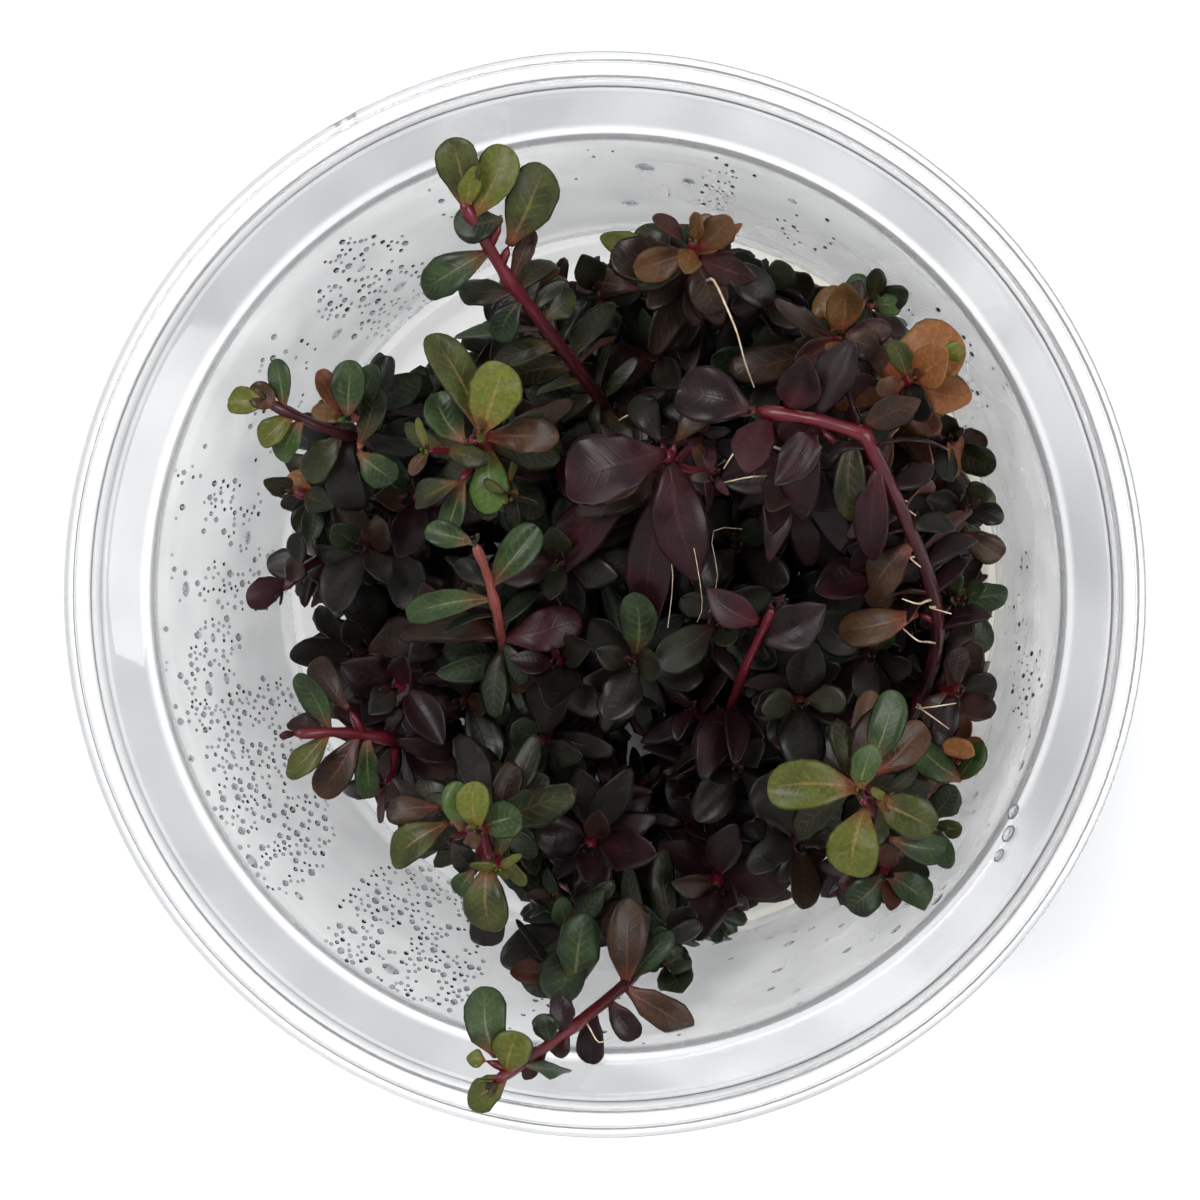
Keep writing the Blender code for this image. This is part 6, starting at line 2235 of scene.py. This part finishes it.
@dataclass
class Roots:
    """The pale roots that hang between the leaves, and those that spread through the gel."""

    seen: tuple[SeenRoot, ...] = (
        SeenRoot("shoot_top_crown", ((712, 277), (725, 305), (735, 330), (743, 360), (752, 385)), 59.5, 56.0, 0.3),
        SeenRoot("shoot_tall_left", ((622, 416), (643, 404)), 46.5, 47.5, 0.3),
        SeenRoot("shoot_centre_right", ((745, 435), (722, 467)), 57.0, 56.5, 0.3),
        SeenRoot("shoot_centre_right", ((750, 475), (722, 481)), 56.5, 56.5, 0.26),
        SeenRoot("shoot_arch", ((887, 495), (902, 500)), 55.0, 56.0, 0.34),
        SeenRoot("shoot_arch", ((895, 503), (910, 514)), 54.5, 55.5, 0.3),
        SeenRoot("shoot_arch", ((905, 557), (915, 566)), 53.5, 54.5, 0.3),
        SeenRoot("shoot_arch", ((912, 603), (897, 598)), 52.5, 53.5, 0.3),
        SeenRoot("shoot_arch", ((925, 607), (945, 613)), 52.5, 53.5, 0.3),
        SeenRoot("shoot_arch", ((912, 640), (898, 628)), 52.0, 52.5, 0.26),
        SeenRoot("shoot_arch", ((918, 708), (950, 703)), 50.5, 51.0, 0.26),
        SeenRoot("shoot_arch", ((920, 712), (943, 729)), 50.5, 50.0, 0.26),
        SeenRoot("shoot_centre", ((665, 525), (672, 575), (667, 628)), 54.0, 49.0, 0.14),
        SeenRoot("shoot_centre", ((690, 535), (701, 600), (696, 622)), 54.0, 50.0, 0.12),
        SeenRoot("shoot_centre_right", ((712, 530), (716, 575), (708, 612)), 52.0, 49.0, 0.12),
        SeenRoot("shoot_over_rim", ((590, 1036), (599, 1050), (612, 1044)), 60.0, 60.0, 0.24),
    )
    each: int = 4
    steps: int = 7
    stride: float = 2.4
    sides: int = 6
    bends: int = 3
    gel_top: float = 12.4
    gel_foot: float = 3.4
    gel_reach: float = 32.6
    seed: int = 31

    def build(self, stems: dict[str, StemPlan]) -> bpy.types.Object:
        """Lays out the roots' lines and grows them.

        Args:
            stems: The shoots' stems, by node.

        Returns:
            The roots' piece.
        """
        draw = np.random.default_rng(self.seed)
        points: list[np.ndarray] = []
        edges: list[tuple[int, int]] = []
        thick: list[float] = []

        def lay(line: Sequence[np.ndarray], width: float) -> None:
            """Keeps one root's line, thinner towards its end."""
            for k, point in enumerate(line):
                if k:
                    edges.append((len(points) - 1, len(points)))
                points.append(point)
                thick.append(width / 2 * (1 - 0.6 * k / (len(line) - 1)))

        for root in self.seen:
            stem, _ = smooth_line(stems[root.shoot].knots, 0.5)
            first = np.array(root.places[0])
            on_stem = stem[int(np.argmin(np.linalg.norm((pictured(stem) - first) / PICTURE_SCALE, axis=1)))]
            heights = np.linspace(root.start, root.end, len(root.places))
            seen = [sighted(*place, height) for place, height in zip(root.places, heights)]
            lay([on_stem, (on_stem + seen[0]) / 2 - UP * 0.4, *seen], root.thick)
        for name in sorted(stems):
            foot = stems[name].knots[0]
            for _ in range(self.each):
                turn, at = draw.uniform(0, 2 * math.pi), np.array((foot[0], foot[1], self.gel_top))
                line = [at]
                for _ in range(self.steps):
                    turn += draw.uniform(-0.6, 0.6)
                    step = np.array((math.cos(turn), math.sin(turn), draw.uniform(-0.75, 0.1))) * self.stride
                    at = at + step * draw.uniform(0.6, 1.1)
                    reach = max(float(np.hypot(at[0], at[1])) / self.gel_reach, 1.0)
                    at = np.array((at[0] / reach, at[1] / reach, max(self.gel_foot, min(at[2], self.gel_top - 0.4))))
                    line.append(at)
                lay(line, draw.uniform(0.22, 0.4))
        base = marked_points("root_lines", np.array(points), edges, {"thick": np.array(thick) * MM})
        values = {"Sides": self.sides, "Bends": self.bends, "Skin": self.dress()}
        obj = grown("roots", base, self.root_group(), values)
        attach(obj, "root")
        LOG.info("%s: %d faces", obj.name, len(obj.data.polygons))
        return obj

    def root_group(self) -> bpy.types.NodeTree:
        """Builds the tree that runs a round root along every line.

        Returns:
            The group.
        """
        group, tree, given, result = geometry_group(
            "root_growth",
            {"Sides": ("NodeSocketInt", 6), "Bends": ("NodeSocketInt", 3), "Skin": ("NodeSocketMaterial", None)},
        )
        lines = tree.add("GeometryNodeMeshToCurve")
        tree.join(given.outputs["Geometry"], lines.inputs["Mesh"])
        thick = tree.add("GeometryNodeInputNamedAttribute", data_type="FLOAT")
        thick.inputs["Name"].default_value = "thick"
        bent = tree.add("GeometryNodeCurveSplineType", spline_type="CATMULL_ROM")
        tree.join(lines.outputs[0], bent.inputs["Curve"])
        fine = tree.add("GeometryNodeSetSplineResolution")
        tree.join(bent.outputs[0], fine.inputs[0])
        tree.join(given.outputs["Bends"], fine.inputs["Resolution"])
        ring = tree.add("GeometryNodeCurvePrimitiveCircle")
        tree.join(given.outputs["Sides"], ring.inputs["Resolution"])
        ring.inputs["Radius"].default_value = 1.0
        tube = tree.add("GeometryNodeCurveToMesh")
        tree.join(fine.outputs[0], tube.inputs["Curve"])
        tree.join(ring.outputs[0], tube.inputs["Profile Curve"])
        tree.join(thick.outputs["Attribute"], tube.inputs["Scale"])
        tube.inputs["Fill Caps"].default_value = True
        real = tree.add("GeometryNodeRealizeInstances")
        tree.join(tube.outputs[0], real.inputs[0])
        dressed = tree.add("GeometryNodeSetMaterial")
        tree.join(real.outputs[0], dressed.inputs["Geometry"])
        tree.join(given.outputs["Skin"], dressed.inputs["Material"])
        tree.join(dressed.outputs[0], result.inputs[0])
        return group

    def dress(self) -> bpy.types.Material:
        """Makes the roots' pale skin.

        Returns:
            The material.
        """
        material, tree, shader = surface_material("pale_root")
        mottle = tree.step(tree.noise(900.0, 3.0), 0.35, 0.7)
        tree.join(tree.blend(mottle, linear(168, 142, 112), linear(214, 198, 172)), shader.inputs["Base Color"])
        tree.join(tree.step(tree.noise(500.0), 0.3, 0.7, 0.45, 0.6), shader.inputs["Roughness"])
        return material


# The studio


@dataclass
class Studio:
    """The pale floor, the soft light and the camera at the photograph's angle."""

    camera_place: tuple[float, float, float] = (35.4, 9.8, 435.0)
    looks_at: tuple[float, float, float] = (0.19, -0.32, 60.0)
    view_width: float = 110.1
    sensor: float = 36.0

    def build(self) -> None:
        """Places the floor, the lights, the world and the camera."""
        self.build_floor()
        self.build_light()
        self.build_camera()

    def build_floor(self) -> None:
        """Lays the floor under the cup."""
        half = 3000.0
        mesh = bpy.data.meshes.new("studio_floor")
        corners = [(-half, -half), (half, -half), (half, half), (-half, half)]
        mesh.from_pydata([(x * MM, y * MM, -0.1 * MM) for x, y in corners], [], [(0, 1, 2, 3)])
        material, tree, shader = surface_material("studio_white")
        paper = tree.noise(30.0, 0.0)
        colour = tree.blend(tree.step(paper, 0.3, 0.7), (0.93, 0.935, 0.94, 1.0), (0.95, 0.955, 0.96, 1.0))
        tree.join(colour, shader.inputs["Base Color"])
        shader.inputs["Roughness"].default_value = 0.8
        shader.inputs["Specular IOR Level"].default_value = 0.1
        mesh.materials.append(material)
        floor = bpy.data.objects.new("studio_floor", mesh)
        bpy.context.scene.collection.objects.link(floor)

    def build_light(self) -> None:
        """Lights the scene from a pale world and one large soft light."""
        world = bpy.data.worlds.new("studio_world")
        world.use_nodes = True
        bpy.context.scene.world = world
        tree = NodeTree(world.node_tree)
        world.node_tree.nodes.clear()
        coordinates = tree.add("TexCoord")
        split = tree.add("SeparateXYZ")
        tree.join(coordinates.outputs["Generated"], split.inputs[0])
        sky = tree.step(split.outputs["Z"], 0.0, 0.5)
        colour = tree.blend(sky, (0.36, 0.37, 0.39, 1.0), (0.98, 0.99, 1.0, 1.0))
        colour = tree.blend(tree.step(split.outputs["Z"], 0.80, 0.92), colour, (0.12, 0.12, 0.13, 1.0))
        background = tree.add("Background")
        tree.join(colour, background.inputs["Color"])
        background.inputs["Strength"].default_value = 1.0
        output = tree.add("OutputWorld")
        tree.join(background.outputs[0], output.inputs["Surface"])
        self.lamp("key_light", (-190.0, 180.0, 600.0), 240.0, 2.1)
        self.lamp("fill_light", (380.0, -120.0, 460.0), 300.0, 1.6)
        bpy.context.scene.cycles.max_bounces = 6
        bpy.context.scene.cycles.transmission_bounces = 6
        bpy.context.scene.cycles.diffuse_bounces = 1
        bpy.context.scene.cycles.glossy_bounces = 2
        bpy.context.scene.cycles.use_light_tree = False
        bpy.context.scene.view_settings.view_transform = "Standard"

    def lamp(self, name: str, place: tuple[float, float, float], size: float, power: float) -> None:
        """Places one square soft light that faces the cup."""
        data = bpy.data.lights.new(name, "AREA")
        data.shape = "SQUARE"
        data.size = size * MM
        data.energy = power
        lamp = bpy.data.objects.new(name, data)
        lamp.location = Vector(place) * MM
        lamp.rotation_euler = (Vector((0, 0, 30)) * MM - lamp.location).to_track_quat("-Z", "Y").to_euler()
        bpy.context.scene.collection.objects.link(lamp)

    def build_camera(self) -> None:
        """Sets the camera over the cup, looking almost straight down."""
        data = bpy.data.cameras.new("view_from_above")
        place, target = Vector(self.camera_place), Vector(self.looks_at)
        reach = (target - place).length
        data.sensor_width = self.sensor
        data.lens = self.sensor * reach / self.view_width
        data.clip_start = 10 * MM
        data.clip_end = 20.0
        camera = bpy.data.objects.new("view_from_above", data)
        back = (place - target).normalized()
        right = Vector((0, 1, 0)).cross(back).normalized()
        top = back.cross(right)
        turn = Matrix((right, top, back)).transposed().to_4x4()
        camera.matrix_world = Matrix.Translation(place * MM) @ turn
        bpy.context.scene.collection.objects.link(camera)
        bpy.context.scene.camera = camera


def main() -> None:
    """Builds the cup, the gel and the clump around the frame."""
    logging.basicConfig(level=logging.INFO, format="%(message)s")
    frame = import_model()
    CultureCup().build()
    AgarGel().build()
    clump = Clump(frame)
    clump.build()
    Roots().build(clump.stems)
    WallMist().build()
    Condensation().build()
    Studio().build()


if __name__ == "__main__":
    main()
